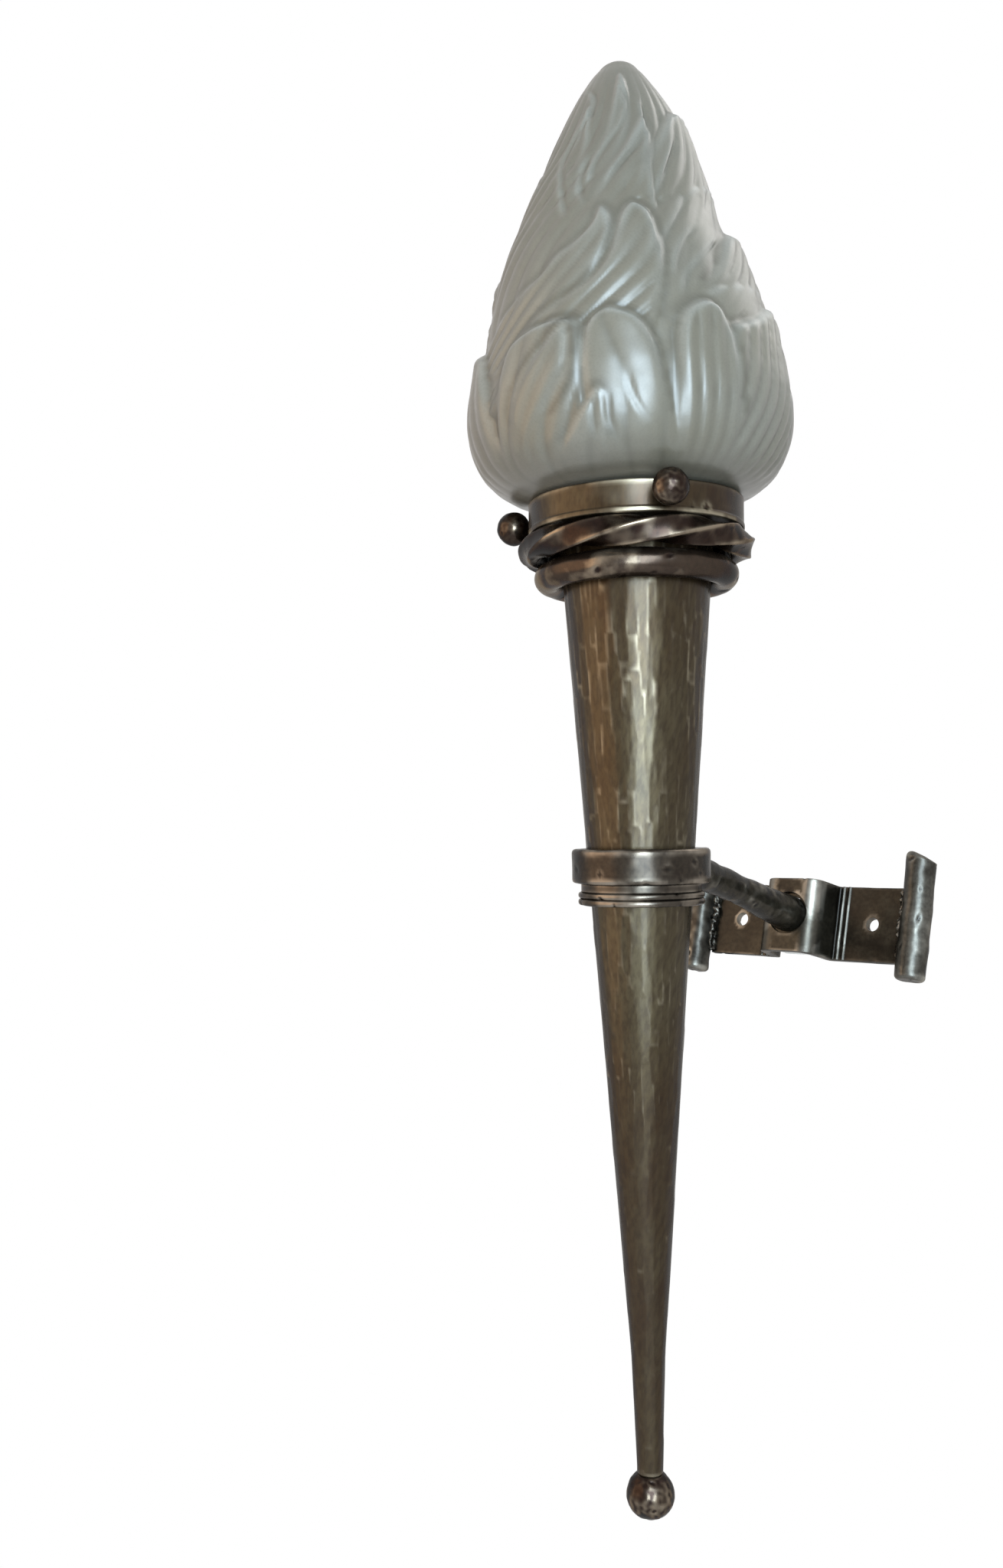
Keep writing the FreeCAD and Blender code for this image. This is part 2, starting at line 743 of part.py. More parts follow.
def build_lampholder():
    """The screw lampholder: cap, skirt, insulator, thread shell, contact and terminals."""
    foot = size["cone_top"] + size["gallery_floor"] + size["nut_thick"]
    top = foot + size["holder_cap_height"]
    radius, wall = size["holder_cap_radius"], size["holder_cap_wall"]
    cap = turned("cap_moulding", [
        (size["nipple_radius"], foot), (radius - wall, foot), (radius, foot + 2 * wall),
        (radius, top), (radius - wall, top), (radius - wall, foot + wall),
        (size["nipple_radius"], foot + wall)])
    finish(put(cap, TORCH), "lampholder_cap")

    insulator_top = above_mouth("insulator_rise") + size["insulator_thick"]
    insulator = cylinder("insulator_disc", radius - wall, size["insulator_thick"])
    put(insulator, placement(0, 0, above_mouth("insulator_rise")))
    screws, holes = [], []
    for name, sign in (("live", 1), ("neutral", -1)):
        across = sign * size["holder_screw_spread"]
        head = cylinder(f"terminal_head_{name}", size["holder_screw_head_radius"],
                        size["holder_screw_head_thick"])
        put(head, placement(across, 0, above_mouth("insulator_rise") - size["holder_screw_head_thick"]))
        shank = cylinder(f"terminal_shank_{name}", size["holder_screw_head_radius"] / 2,
                         size["insulator_thick"])
        put(shank, placement(across, 0, above_mouth("insulator_rise")))
        screws.extend([head, shank])
        hole = cylinder(f"terminal_hole_{name}", size["holder_screw_head_radius"] / 2,
                        size["insulator_thick"])
        holes.append(put(hole, placement(across, 0, above_mouth("insulator_rise"))))
    insulator = cut("insulator_drilled", insulator, fuse("terminal_holes", holes))
    finish(put(insulator, TORCH), "lampholder_insulator")
    finish(put(fuse("terminal_pair", screws), TORCH), "lampholder_terminals")

    contact = cylinder("contact_stud", size["holder_contact_radius"],
                       above_mouth("holder_contact_rise") - insulator_top)
    finish(put(contact, TORCH, placement(0, 0, insulator_top)), "lampholder_contact")

    shell_radius, shell_wall = size["thread_shell_radius"], size["thread_shell_wall"]
    shell = tube("shell_pressing", shell_radius + shell_wall, shell_radius, insulator_top,
                 above_mouth("thread_shell_rise"))
    finish(put(shell, TORCH), "lampholder_thread_shell")

    outer, skirt_wall = size["holder_skirt_radius"], size["holder_skirt_wall"]
    bore = size["holder_skirt_bore"]
    skirt_foot, skirt_top = top - size["holder_skirt_overlap"], above_mouth("holder_skirt_rise")
    skirt = turned("skirt_moulding", [
        (radius, skirt_foot), (outer, skirt_foot), (outer, top + skirt_wall),
        (outer - skirt_wall, skirt_top), (bore, skirt_top), (bore, top), (radius, top)])
    finish(put(skirt, TORCH), "lampholder_skirt")


def bulb_form(name, inset):
    """The bulb's outline as one solid: a ball, a tapering shoulder and a straight neck."""
    radius = size["bulb_radius"] - inset
    neck = size["bulb_neck_radius"] - inset
    angle = math.radians(SIZES["bulb_shoulder_angle"])
    join_radius, join_drop = radius * round(math.cos(angle), 6), radius * round(math.sin(angle), 6)
    taper = (join_radius - neck) / round(math.tan(angle), 6)
    middle = above_mouth("bulb_middle_rise")
    ball = shaped("Part::Sphere", f"{name}_ball", Radius=radius)
    put(ball, placement(0, 0, middle))
    shoulder = shaped("Part::Cone", f"{name}_shoulder", Radius1=neck, Radius2=join_radius,
                      Height=taper)
    put(shoulder, placement(0, 0, middle - join_drop - taper))
    stem = cylinder(f"{name}_neck", neck, middle - join_drop - taper - above_mouth("bulb_neck_rise"))
    put(stem, placement(0, 0, above_mouth("bulb_neck_rise")))
    return fuse(name, [ball, shoulder, stem])


def build_bulb():
    """The screw-in bulb: glass, cap, insulator, contact, stem and filaments."""
    wall = size["bulb_glass_wall"]
    glass = cut("bulb_envelope", bulb_form("bulb_outside", 0), bulb_form("bulb_inside", wall))
    finish(put(glass, TORCH), "bulb_glass")

    cap_radius, cap_wall = size["bulb_cap_radius"], size["bulb_cap_wall"]
    foot, top = above_mouth("bulb_cap_foot_rise"), above_mouth("bulb_cap_rise")
    cap = tube("cap_pressing", cap_radius, cap_radius - cap_wall, foot, top)
    finish(put(cap, TORCH), "bulb_cap")

    contact_foot = above_mouth("holder_contact_rise")
    contact_top = contact_foot + size["bulb_contact_thick"]
    contact = cylinder("contact_disc", size["bulb_contact_radius"], size["bulb_contact_thick"])
    finish(put(contact, TORCH, placement(0, 0, contact_foot)), "bulb_contact")
    inner, seal = cap_radius - cap_wall, size["bulb_seal_thick"]
    insulator = turned("cap_glass", [
        (0, contact_top), (size["bulb_contact_radius"] + cap_wall, contact_top),
        (inner, foot), (inner, foot + seal), (0, foot + seal)])
    finish(put(insulator, TORCH), "bulb_cap_insulator")

    stem_foot, stem_top = foot + seal, above_mouth("bulb_stem_rise")
    flange = stem_top - size["bulb_stem_flange_thick"]
    stem = turned("stem_glass", [
        (0, stem_foot), (size["bulb_stem_radius"], stem_foot), (size["bulb_stem_radius"], flange),
        (size["bulb_stem_flange_radius"], flange), (size["bulb_stem_flange_radius"], stem_top),
        (0, stem_top)])
    finish(put(stem, TORCH), "bulb_stem")

    filaments = []
    for number in range(int(size["filament_count"].number)):
        filament = cylinder(f"filament_{number + 1}", size["filament_radius"],
                            size["filament_length"])
        turn = placement(0, 0, stem_top, angle=360 / size["filament_count"] * number + 45)
        filaments.append(put(filament, turn, placement(size["filament_circle"], 0, 0)))
    finish(put(fuse("filament_set", filaments), TORCH), "bulb_filaments")


# ---------------------------------------------------------------- wiring

def rounded_path(corners, radii):
    """Straight runs joined by tangent arcs, one radius for each inner corner."""
    edges, start = [], corners[0]
    for corner, after, radius in zip(corners[1:], corners[2:], radii):
        before = (start - corner).normalize()
        onward = (after - corner).normalize()
        half_turn = (math.pi - before.getAngle(onward)) / 2
        tangent = radius * math.tan(half_turn)
        first, last = corner + before * tangent, corner + onward * tangent
        inward = (before + onward).normalize()
        middle = corner + inward * (radius / math.cos(half_turn) - radius)
        edges.append(Part.LineSegment(start, first).toShape())
        edges.append(Part.Arc(first, middle, last).toShape())
        start = last
    edges.append(Part.LineSegment(start, corners[-1]).toShape())
    return Part.Wire(edges)


def build_lead(label, upper_corners, upper_bends, side, drop, pole):
    """An insulated lead: from its terminal down the torch, along the arm and to the block."""
    radius = SIZES["lead_radius"]
    small = SIZES["lead_small_bend_radius"]
    in_torch = torch_frame.Placement.multVec
    in_arm = arm_frame.Placement.multVec
    from_wall = SIZES["block_wall_gap"] + SIZES["block_depth"] / 2
    arm_ends = [in_arm(FreeCAD.Vector(side, drop, reach)) for reach in (from_wall, SIZES["arm_reach"])]
    near, far = [torch_frame.Placement.inverse().multVec(point) for point in arm_ends]
    share = (near.y - drop) / (near.y - far.y)
    turn_height = near.z + share * (far.z - near.z)

    corners = [in_torch(FreeCAD.Vector(*corner)) for corner in upper_corners]
    corners.append(in_torch(FreeCAD.Vector(side, drop, turn_height)))
    corners.append(arm_ends[0])
    across, block_top = pole * SIZES["block_pole_spacing"], -SIZES["block_below_arm"]
    bends = upper_bends + [SIZES["lead_bend_radius"], small - radius / 2]
    if pole:
        corners.append(FreeCAD.Vector(across, arm_ends[0].y, block_top + SIZES["lead_tail"]))
        bends.append(small)
    corners.append(FreeCAD.Vector(across, arm_ends[0].y, block_top))
    path = rounded_path(corners, bends)
    ring = Part.Wire(Part.makeCircle(radius, corners[0], corners[1] - corners[0]))
    lead = doc.addObject("Part::Feature", f"{label}_wire")
    lead.Shape = path.makePipeShell([ring], True, True)
    expected = math.pi * radius ** 2 * path.Length
    print(f"{label}: {path.Length:.0f} mm long, volume {lead.Shape.Volume:.0f} of {expected:.0f}")
    return finish(lead, label)


def build_wiring():
    """Two lamp leads, the earth lead, and the three-pole block in the bump's hollow."""
    small = SIZES["lead_small_bend_radius"]
    screw_foot = above_mouth("insulator_rise").number - SIZES["holder_screw_head_thick"]
    drop = SIZES["lead_drop_offset"]
    for label, pole in (("lead_live", 1), ("lead_neutral", -1)):
        side = pole * SIZES["lead_side_offset"]
        across = pole * SIZES["holder_screw_spread"]
        upper = [(across, 0, screw_foot), (across, 0, screw_foot - SIZES["lead_tail"]),
                 (side, drop, above_mouth("lead_flare_rise").number)]
        build_lead(label, upper, [small, small], side, drop, pole)

    head_foot = below_mouth("bridge_drop").number - SIZES["bridge_thick"] - SIZES["earth_screw_head_thick"]
    away, offset, fall = (SIZES["earth_screw_offset"], SIZES["earth_lead_offset"],
                          SIZES["earth_lead_drop"])
    upper = [(0, -away, head_foot), (0, -away, head_foot - fall),
             (0, -offset, head_foot - 2 * fall)]
    bend = SIZES["earth_lead_bend_radius"]
    build_lead("earth_lead", upper, [bend, bend], 0, -offset, 0)

    width, height = size["block_width"], size["block_height"]
    block = shaped("Part::Box", "block_moulding", Length=width, Width=size["block_depth"],
                   Height=height)
    put(block, placement(-width / 2, -size["block_wall_gap"] - size["block_depth"],
                         -size["block_below_arm"] - height))
    finish(block, "terminal_block")
    screws = []
    for pole in (-1, 0, 1):
        screw = cylinder(f"block_screw_{pole + 2}", size["block_screw_radius"],
                         size["block_screw_height"])
        put(screw, placement(pole * size["block_pole_spacing"],
                             -size["block_wall_gap"] - size["block_depth"],
                             -size["block_below_arm"] - height / 2, **ALONG_Y))
        screws.append(screw)
    finish(fuse("block_screw_set", screws), "terminal_block_screws")


# ---------------------------------------------------------------- assembly

lead_bore = put(cylinder("lead_bore", size["arm_bore_radius"],
                         size["arm_reach"] + size["collar_radius"]), ARM)
doc.recompute()
wall_strap = build_wall_strap()
end_bars = [build_end_bar("left", -1, size["left_bar_above"], size["left_bar_below"]),
            build_end_bar("right", 1, size["right_bar_above"], size["right_bar_below"])]
build_end_bar_welds(wall_strap, end_bars)
build_arm_weld(wall_strap, build_arm())
build_collar()
torch_cone = build_torch_cone()
build_finial()
build_round_ring(torch_cone)
build_twisted_ring()
build_gallery()
build_thumbscrews()
build_glass_shade()
build_lamp_support(torch_cone)
build_lampholder()
build_bulb()
build_wiring()
doc.recompute()

for obj in doc.Objects:
    if "Invalid" in obj.State or "Error" in obj.State:
        raise RuntimeError(f"{obj.Name} did not compute: {obj.State}")
for node in nodes:
    if node.Shape.isNull() or not node.Shape.isValid() or not node.Shape.Solids:
        raise RuntimeError(f"{node.Label} has no valid solid")

os.makedirs("parts", exist_ok=True)
for node in nodes:
    node.Shape.exportStep(f"parts/{node.Label}.step")
    print(f"{node.Label}: {len(node.Shape.Solids)} solid(s), {node.Shape.Volume:.1f} mm3")
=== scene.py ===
"""Dresses the forged torch sconce: hammered torch, forged bracket and a frosted glass flame.

Sizes are written in millimetres and turned into metres as the pieces are drawn. Pieces of
the torch are drawn upright round the Z axis, measured from the middle of the collar, and
then leant into place. Pieces of the arm are drawn the same way from the wall outwards.
"""
import json
import math
import random

import bpy
import numpy as np
from mathutils import Matrix, Vector, noise


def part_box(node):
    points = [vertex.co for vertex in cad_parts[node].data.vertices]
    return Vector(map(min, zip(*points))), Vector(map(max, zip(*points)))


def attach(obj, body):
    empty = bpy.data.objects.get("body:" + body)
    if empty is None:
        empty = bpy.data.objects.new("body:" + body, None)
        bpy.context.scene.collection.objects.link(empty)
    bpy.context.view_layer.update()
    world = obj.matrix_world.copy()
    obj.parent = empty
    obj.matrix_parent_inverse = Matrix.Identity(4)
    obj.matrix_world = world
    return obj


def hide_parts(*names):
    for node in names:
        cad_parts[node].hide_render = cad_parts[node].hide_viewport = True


MM = 0.001

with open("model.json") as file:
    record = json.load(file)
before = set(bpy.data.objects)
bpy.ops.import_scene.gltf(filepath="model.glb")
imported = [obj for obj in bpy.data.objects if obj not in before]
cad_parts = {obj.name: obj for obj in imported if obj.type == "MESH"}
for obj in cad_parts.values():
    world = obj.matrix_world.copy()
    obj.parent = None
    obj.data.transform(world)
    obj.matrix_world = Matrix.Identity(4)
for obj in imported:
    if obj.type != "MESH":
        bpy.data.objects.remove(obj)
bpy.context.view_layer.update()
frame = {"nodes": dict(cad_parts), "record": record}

# -------- places

TORCH_LEAN = 15.5
ARM_RISE = 1.1
ARM_HEIGHT = 0.3
CAMERA_SIDE = -47.6     # torch angle that faces the camera

collar_low, collar_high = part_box("collar_band")
COLLAR_MIDDLE = (collar_low + collar_high) / 2
TORCH = Matrix.Translation(COLLAR_MIDDLE) @ Matrix.Rotation(math.radians(TORCH_LEAN), 4, "X")
ARM = (Matrix.Translation((0, 0, ARM_HEIGHT * MM))
       @ Matrix.Rotation(math.radians(90 - ARM_RISE), 4, "X"))

# -------- sizes in mm

CONE_TOP, CONE_MOUTH_RADIUS = 138.7, 32.5
CONE_KNEE, CONE_KNEE_RADIUS = -202.4, 7.1
CONE_TIP, CONE_TIP_RADIUS = -249.9, 5.4
CONE_HOLLOW, CONE_WALL, CONE_TIP_ROUND = -198.0, 1.6, 0.8

FINIAL_RADIUS, FINIAL_DROP = 9.9, 8.5

COLLAR_RADIUS, COLLAR_HEIGHT, COLLAR_ROUND = 28.8, 14.4, 1.6
SEAT_RADIUS, SEAT_HEIGHT, SEAT_ROUND = 25.0, 3.4, 0.3
KEEPER_RADIUS, KEEPER_HEIGHT, KEEPER_ROUND = 26.3, 2.75, 1.2

ROUND_BAR, ROUND_RING_DROP, ROUND_RING_BITE = 5.93, 18.1, 0.3
TWIST_SIDE, TWIST_RADIUS, TWIST_ROUND, QUARTER_TURNS = 9.2, 43.6, 0.9, 9

GALLERY_RADIUS, GALLERY_HEIGHT, GALLERY_WALL, GALLERY_FLOOR = 45.0, 13.3, 1.5, 1.5
GALLERY_LIP, GALLERY_LIP_HEIGHT, NIPPLE_RADIUS = 0.3, 1.9, 5.0
SCREW_RISE, SCREW_RADIUS, SCREW_BALL, SCREW_BALL_PLACE = 7.4, 2.0, 7.26, 54.8
SCREW_TIP, SCREW_GAP, FIRST_SCREW, SCREWS = 40.3, 0.25, -38.95, 3

NECK_RADIUS, NECK_TOP, GLASS_WALL, GLASS_FOOT = 40.0, 152.4, 3.0, 141.2
FLAME_FOOT, FLAME_TIP, FLAME_WALL = 155.2, 340.6, 3.2

# the arm's outside, from the wall outwards: (distance from the wall, radius)
ARM_SKIN, ARM_BORE = ((13.0, 8.75), (22.0, 8.75), (66.0, 6.75), (112.1, 7.5)), 4.0

STRAP_HALF, STRAP_HEIGHT, STRAP_THICK, STRAP_EDGE, STRAP_ROWS = 51.8, 35.5, 4.0, 0.9, 26
BUMP_DEPTH, BUMP_FOOT, BUMP_CREST = 21.5, 17.0, 14.0
BUMP_CORNER, BUMP_CREASE = 8.0, 1.0
RIDGES_FROM_FOOT, RIDGE_WIDTH, RIDGE_HEIGHT = (1.2, 4.2), 1.8, 0.8
WALL_HOLE_SPACING, WALL_HOLE_RADIUS, ARM_HOLE_RADIUS = 71.4, 3.3, 10.2
END_BAR_RADIUS, END_BAR_SPACING = 7.0, 117.0
END_BAR_FOOT_ROUND, END_BAR_TOP_ROUND, END_BAR_SLANTED = 2.0, 4.0, 9.0
WELD_RADIUS, WELD_LENGTH, WELD_OUT = 2.4, 34.0, 5.2

# -------- drawing and turning


def deselect():
    """Leave nothing selected."""
    bpy.ops.object.select_all(action="DESELECT")


def fresh(name):
    """The piece that was added last, now with its name."""
    piece = bpy.context.object
    piece.name = piece.data.name = name
    return piece


def arcs(corners, fine):
    """Points of an outline whose corners (x, y, round) are rounded, no further apart than fine."""
    corners = [tuple(c) + (0,) * (3 - len(c)) for c in corners]
    line = []
    for i, (x, y, radius) in enumerate(corners):
        here = Vector((x, y))
        if radius and 0 < i < len(corners) - 1:
            back = (Vector(corners[i - 1][:2]) - here).normalized()
            on = (Vector(corners[i + 1][:2]) - here).normalized()
            half = back.angle(on) / 2
            middle = here + (back + on).normalized() * radius / math.sin(half)
            start = here + back * radius / math.tan(half)
            sweep = math.pi - 2 * half
            turn = 1 if back.x * on.y - back.y * on.x < 0 else -1
            steps = max(3, math.ceil(radius * sweep / fine))
            spoke = start - middle
            for step in range(steps + 1):
                angle = turn * sweep * step / steps
                line.append(middle + Matrix.Rotation(angle, 2) @ spoke)
        else:
            line.append(here)
    full = [line[0]]
    for there in line[1:]:
        steps = max(1, math.ceil((there - full[-1]).length / fine - 1e-6))
        start = full[-1]
        full += [start.lerp(there, step / steps) for step in range(1, steps + 1)]
    return full


def draw(name, points, close=False):
    """A line of edges through (x, z) points in mm, drawn point by point in edit mode."""
    deselect()
    bpy.ops.mesh.primitive_plane_add(size=MM)
    piece = fresh(name)
    bpy.ops.object.mode_set(mode="EDIT")
    bpy.ops.mesh.select_mode(type="VERT")
    bpy.ops.mesh.merge(type="CENTER")
    bpy.ops.transform.translate(value=(points[0][0] * MM, 0, points[0][1] * MM))
    for here, there in zip(points, points[1:]):
        step = (there[0] - here[0]) * MM, 0, (there[1] - here[1]) * MM
        bpy.ops.mesh.extrude_region_move(TRANSFORM_OT_translate={"value": step})
    bpy.ops.mesh.select_all(action="SELECT")
    if close:
        bpy.ops.mesh.edge_face_add()
    return piece


def turned(name, outline, steps):
    """An outline of (radius, height) points in mm spun round the Z axis into a closed piece."""
    piece = draw(name, outline)
    bpy.ops.mesh.spin(steps=steps, angle=math.tau, center=(0, 0, 0), axis=(0, 0, 1))
    tidy_shell()
    bpy.ops.object.mode_set(mode="OBJECT")
    return piece


def tidy_shell():
    """Merge the seam and the poles, and point every face outwards."""
    bpy.ops.mesh.select_all(action="SELECT")
    bpy.ops.mesh.remove_doubles(threshold=0.004 * MM)
    bpy.ops.mesh.normals_make_consistent(inside=False)


def put(piece, place):
    """Move a piece's mesh to its place, and leave its object at the origin."""
    deselect()
    piece.select_set(True)
    bpy.context.view_layer.objects.active = piece
    piece.matrix_world = place
    bpy.ops.object.transform_apply(location=True, rotation=True, scale=True)
    return piece


def drilled(piece, drills):
    """Take drills out of a piece, and remove them."""
    for drill in drills:
        cut = piece.modifiers.new("drill", "BOOLEAN")
        cut.object, cut.operation, cut.solver = drill, "DIFFERENCE", "EXACT"
        deselect()
        bpy.context.view_layer.objects.active = piece
        bpy.ops.object.modifier_apply(modifier=cut.name)
        bpy.data.objects.remove(drill)


def drill_rod(radius, length, place):
    """A round rod from the place's origin along its Z axis, to drill with."""
    deselect()
    bpy.ops.mesh.primitive_cylinder_add(vertices=64, radius=radius * MM, depth=length * MM,
                                        location=(0, 0, length * MM / 2))
    rod = bpy.context.object
    bpy.ops.object.transform_apply(location=True)
    return put(rod, place)


def joined(pieces, name):
    """Several pieces made into one."""
    deselect()
    for piece in pieces:
        piece.select_set(True)
    bpy.context.view_layer.objects.active = pieces[0]
    bpy.ops.object.join()
    return fresh(name)


def up_torch(height):
    """The torch's frame moved up its axis by a height in mm."""
    return TORCH @ Matrix.Translation((0, 0, height * MM))


# -------- hammer work


def places(piece):
    """Where a mesh's vertices are, as rows of x, y and z in metres."""
    spots = np.empty(len(piece.data.vertices) * 3)
    piece.data.vertices.foreach_get("co", spots)
    return spots.reshape(-1, 3)


def facings(piece):
    """Which way a mesh faces at each vertex."""
    out = np.empty(len(piece.data.vertices) * 3)
    piece.data.vertices.foreach_get("normal", out)
    return out.reshape(-1, 3)


def move_to(piece, spots):
    """Give a mesh's vertices new places."""
    piece.data.vertices.foreach_set("co", spots.ravel())
    piece.data.update()


def note(piece, name, values):
    """Keep one number for each vertex, for the finish to read."""
    mark = piece.data.attributes.get(name) or piece.data.attributes.new(name, "FLOAT", "POINT")
    mark.data.foreach_set("value", np.asarray(values, np.float32))


def planish(piece, blows, across, along, depth, seed, skin):
    """Long overlapping hammer marks down a turned piece whose outer radius is skin(height)."""
    chance = random.Random(seed)
    spots = places(piece) / MM
    angle = np.arctan2(spots[:, 1], spots[:, 0])
    radius = np.hypot(spots[:, 0], spots[:, 1])
    height = spots[:, 2]
    order = np.argsort(height)
    sorted_height = height[order]
    hollow, tone = np.zeros(len(spots)), np.full(len(spots), 0.5)
    low, high = height.min(), height.max()
    for _ in range(blows):
        # more blows fall where the piece is wider
        while True:
            middle = chance.uniform(low, high)
            if chance.random() * skin(high) <= skin(middle):
                break
        turn, wide = chance.uniform(-math.pi, math.pi), chance.uniform(*across)
        long, deep = chance.uniform(*along), chance.uniform(0.45, 1) * depth
        tilt, shade = chance.gauss(0, 0.03), chance.random()
        first, last = np.searchsorted(sorted_height, (middle - long / 2, middle + long / 2))
        near = order[first:last]
        lengthwise = (height[near] - middle) * 2 / long
        crosswise = (angle[near] - turn + math.pi) % math.tau - math.pi
        crosswise = (crosswise * radius[near] + tilt * (height[near] - middle)) * 2 / wide
        cut = deep * (1 - crosswise ** 2) * (1 - lengthwise ** 8)
        deeper = (cut > hollow[near]) & (np.abs(crosswise) < 1)
        hollow[near[deeper]] = cut[deeper]
        tone[near[deeper]] = shade
    skin_radius = np.array([skin(h) for h in height])
    outside = np.clip((radius - skin_radius + 0.9) / 0.6, 0, 1)
    keep = (radius - hollow * outside) / np.maximum(radius, 1e-6)
    spots[:, :2] *= keep[:, None]
    move_to(piece, spots * MM)
    note(piece, "tone", tone)


def knock(piece, spread, depth, seed, nicks, nick=(0.6, 1.4)):
    """Soft unevenness spread mm apart over a whole piece, and a few small sharp nicks."""
    spots, out = places(piece), facings(piece)
    shift = Vector((seed * 3.7, seed * 1.3, seed * 5.1))
    push = np.empty(len(spots))
    for i, spot in enumerate(spots):
        at = Vector(spot) / (spread * MM)
        push[i] = depth * (noise.noise(at + shift) - 0.1 + 0.4 * noise.noise(at * 2.7 - shift))
    chance = random.Random(seed)
    for _ in range(nicks):
        centre = spots[chance.randrange(len(spots))]
        size = chance.uniform(*nick)
        length = Vector((chance.gauss(0, 1), chance.gauss(0, 1), chance.gauss(0, 1))).normalized()
        away = (spots - centre) / MM
        along = away @ np.array(length)
        far = np.sqrt(np.maximum((away ** 2).sum(1) - 0.8 * along ** 2, 0)) / size
        push -= 0.35 * size * np.clip(1 - far, 0, 1)
    move_to(piece, spots + out * (push * MM)[:, None])


def evened(piece, values, rounds):
    """Values at a piece's vertices, each averaged with its neighbours."""
    pairs = np.empty(len(piece.data.edges) * 2, np.int64)
    piece.data.edges.foreach_get("vertices", pairs)
    pairs = pairs.reshape(-1, 2)
    count = np.maximum(np.bincount(pairs.ravel(), minlength=len(values)), 1)[:, None]
    values = np.array(values, float).reshape(len(values), -1)
    for _ in range(rounds):
        total = np.zeros_like(values)
        np.add.at(total, pairs[:, 0], values[pairs[:, 1]])
        np.add.at(total, pairs[:, 1], values[pairs[:, 0]])
        values = total / count
    return values


def note_wear(piece):
    """Keep how far each vertex stands out from its neighbours (wear) or lies in (grime)."""
    spots = places(piece) / MM
    proud = ((spots - evened(piece, spots, 2)) * facings(piece)).sum(1)
    proud = (proud + evened(piece, proud, 1)[:, 0]) / 2
    note(piece, "wear", np.clip((proud - 0.012) * 16, 0, 1))
    note(piece, "grime", np.clip((-proud - 0.012) * 16, 0, 1))


def finish_off(piece, place, finish, nodes, body="root", smooth=40):
    """Put a piece in its place with its finish, in place of its CAD nodes and on its body."""
    note_wear(piece)
    put(piece, place)
    bpy.ops.object.shade_smooth_by_angle(angle=math.radians(smooth))
    piece.data.materials.clear()
    piece.data.materials.append(finish)
    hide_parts(*nodes)
    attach(piece, body)
    return piece


# -------- finishes


def feed(tree, node, inputs):
    """Link a node's inputs to other nodes' outputs, or set them to plain numbers and colours."""
    for name, value in inputs.items():
        socket = node.inputs[name]
        if isinstance(value, bpy.types.NodeSocket):
            tree.links.new(value, socket)
        else:
            socket.default_value = (*value, 1) if socket.type == "RGBA" else value
    return node


def add_node(tree, kind, inputs):
    """A new node with its inputs fed."""
    return feed(tree, tree.nodes.new(f"ShaderNode{kind}"), inputs)


def new_finish(name):
    """An empty material with one shader, to which the finishes feed their patterns."""
    material = bpy.data.materials.new(name)
    material.use_nodes = True
    tree = material.node_tree
    tree.nodes.clear()
    skin = tree.nodes.new("ShaderNodeBsdfPrincipled")
    add_node(tree, "OutputMaterial", {"Surface": skin.outputs["BSDF"]})
    return material, tree, skin


def mottle(tree, size, detail, stretch=(1, 1, 1), turn=(0, 0, 0)):
    """Noise whose patches are about size mm across, on object coordinates."""
    where = tree.nodes.new("ShaderNodeTexCoord").outputs["Object"]
    laid = add_node(tree, "Mapping", {"Vector": where, "Rotation": turn, "Scale": stretch})
    spots = add_node(tree, "TexNoise", {"Vector": laid.outputs["Vector"], "Detail": detail,
                                        "Scale": 1 / (size * MM)})
    return spots.outputs["Fac"]


def noted(tree, name):
    """The number that note() kept at each vertex under a name."""
    mark = tree.nodes.new("ShaderNodeAttribute")
    mark.attribute_name = name
    return mark.outputs["Fac"]


def ramp(tree, value, stops):
    """A colour ramp over a value; stops are (place, colour)."""
    scale = tree.nodes.new("ShaderNodeValToRGB")
    marks = scale.color_ramp.elements
    while len(marks) < len(stops):
        marks.new(0.5)
    for mark, (place, colour) in zip(marks, stops):
        mark.position = place
        mark.color = (*colour, 1)
    return feed(tree, scale, {"Fac": value}).outputs["Color"]


def span(tree, value, low, high, new_low, new_high):
    """A value drawn out from low..high to new_low..new_high and held there."""
    stretch = add_node(tree, "MapRange", {"Value": value, "From Min": low, "From Max": high,
                                          "To Min": new_low, "To Max": new_high})
    return stretch.outputs["Result"]


def times(tree, first, second):
    """Two values multiplied."""
    product = add_node(tree, "Math", {0: first, 1: second})
    product.operation = "MULTIPLY"
    return product.outputs["Value"]


def blended(tree, amount, under, over):
    """A colour mixed with another by an amount."""
    mix = tree.nodes.new("ShaderNodeMix")
    mix.data_type = "RGBA"
    return feed(tree, mix, {"Factor": amount, "A": under, "B": over}).outputs["Result"]


def relief(tree, skin, height, strength, distance):
    """Bump of distance mm under a skin."""
    bump = add_node(tree, "Bump", {"Height": height, "Strength": strength, "Distance": distance * MM})
    feed(tree, skin, {"Normal": bump.outputs["Normal"]})


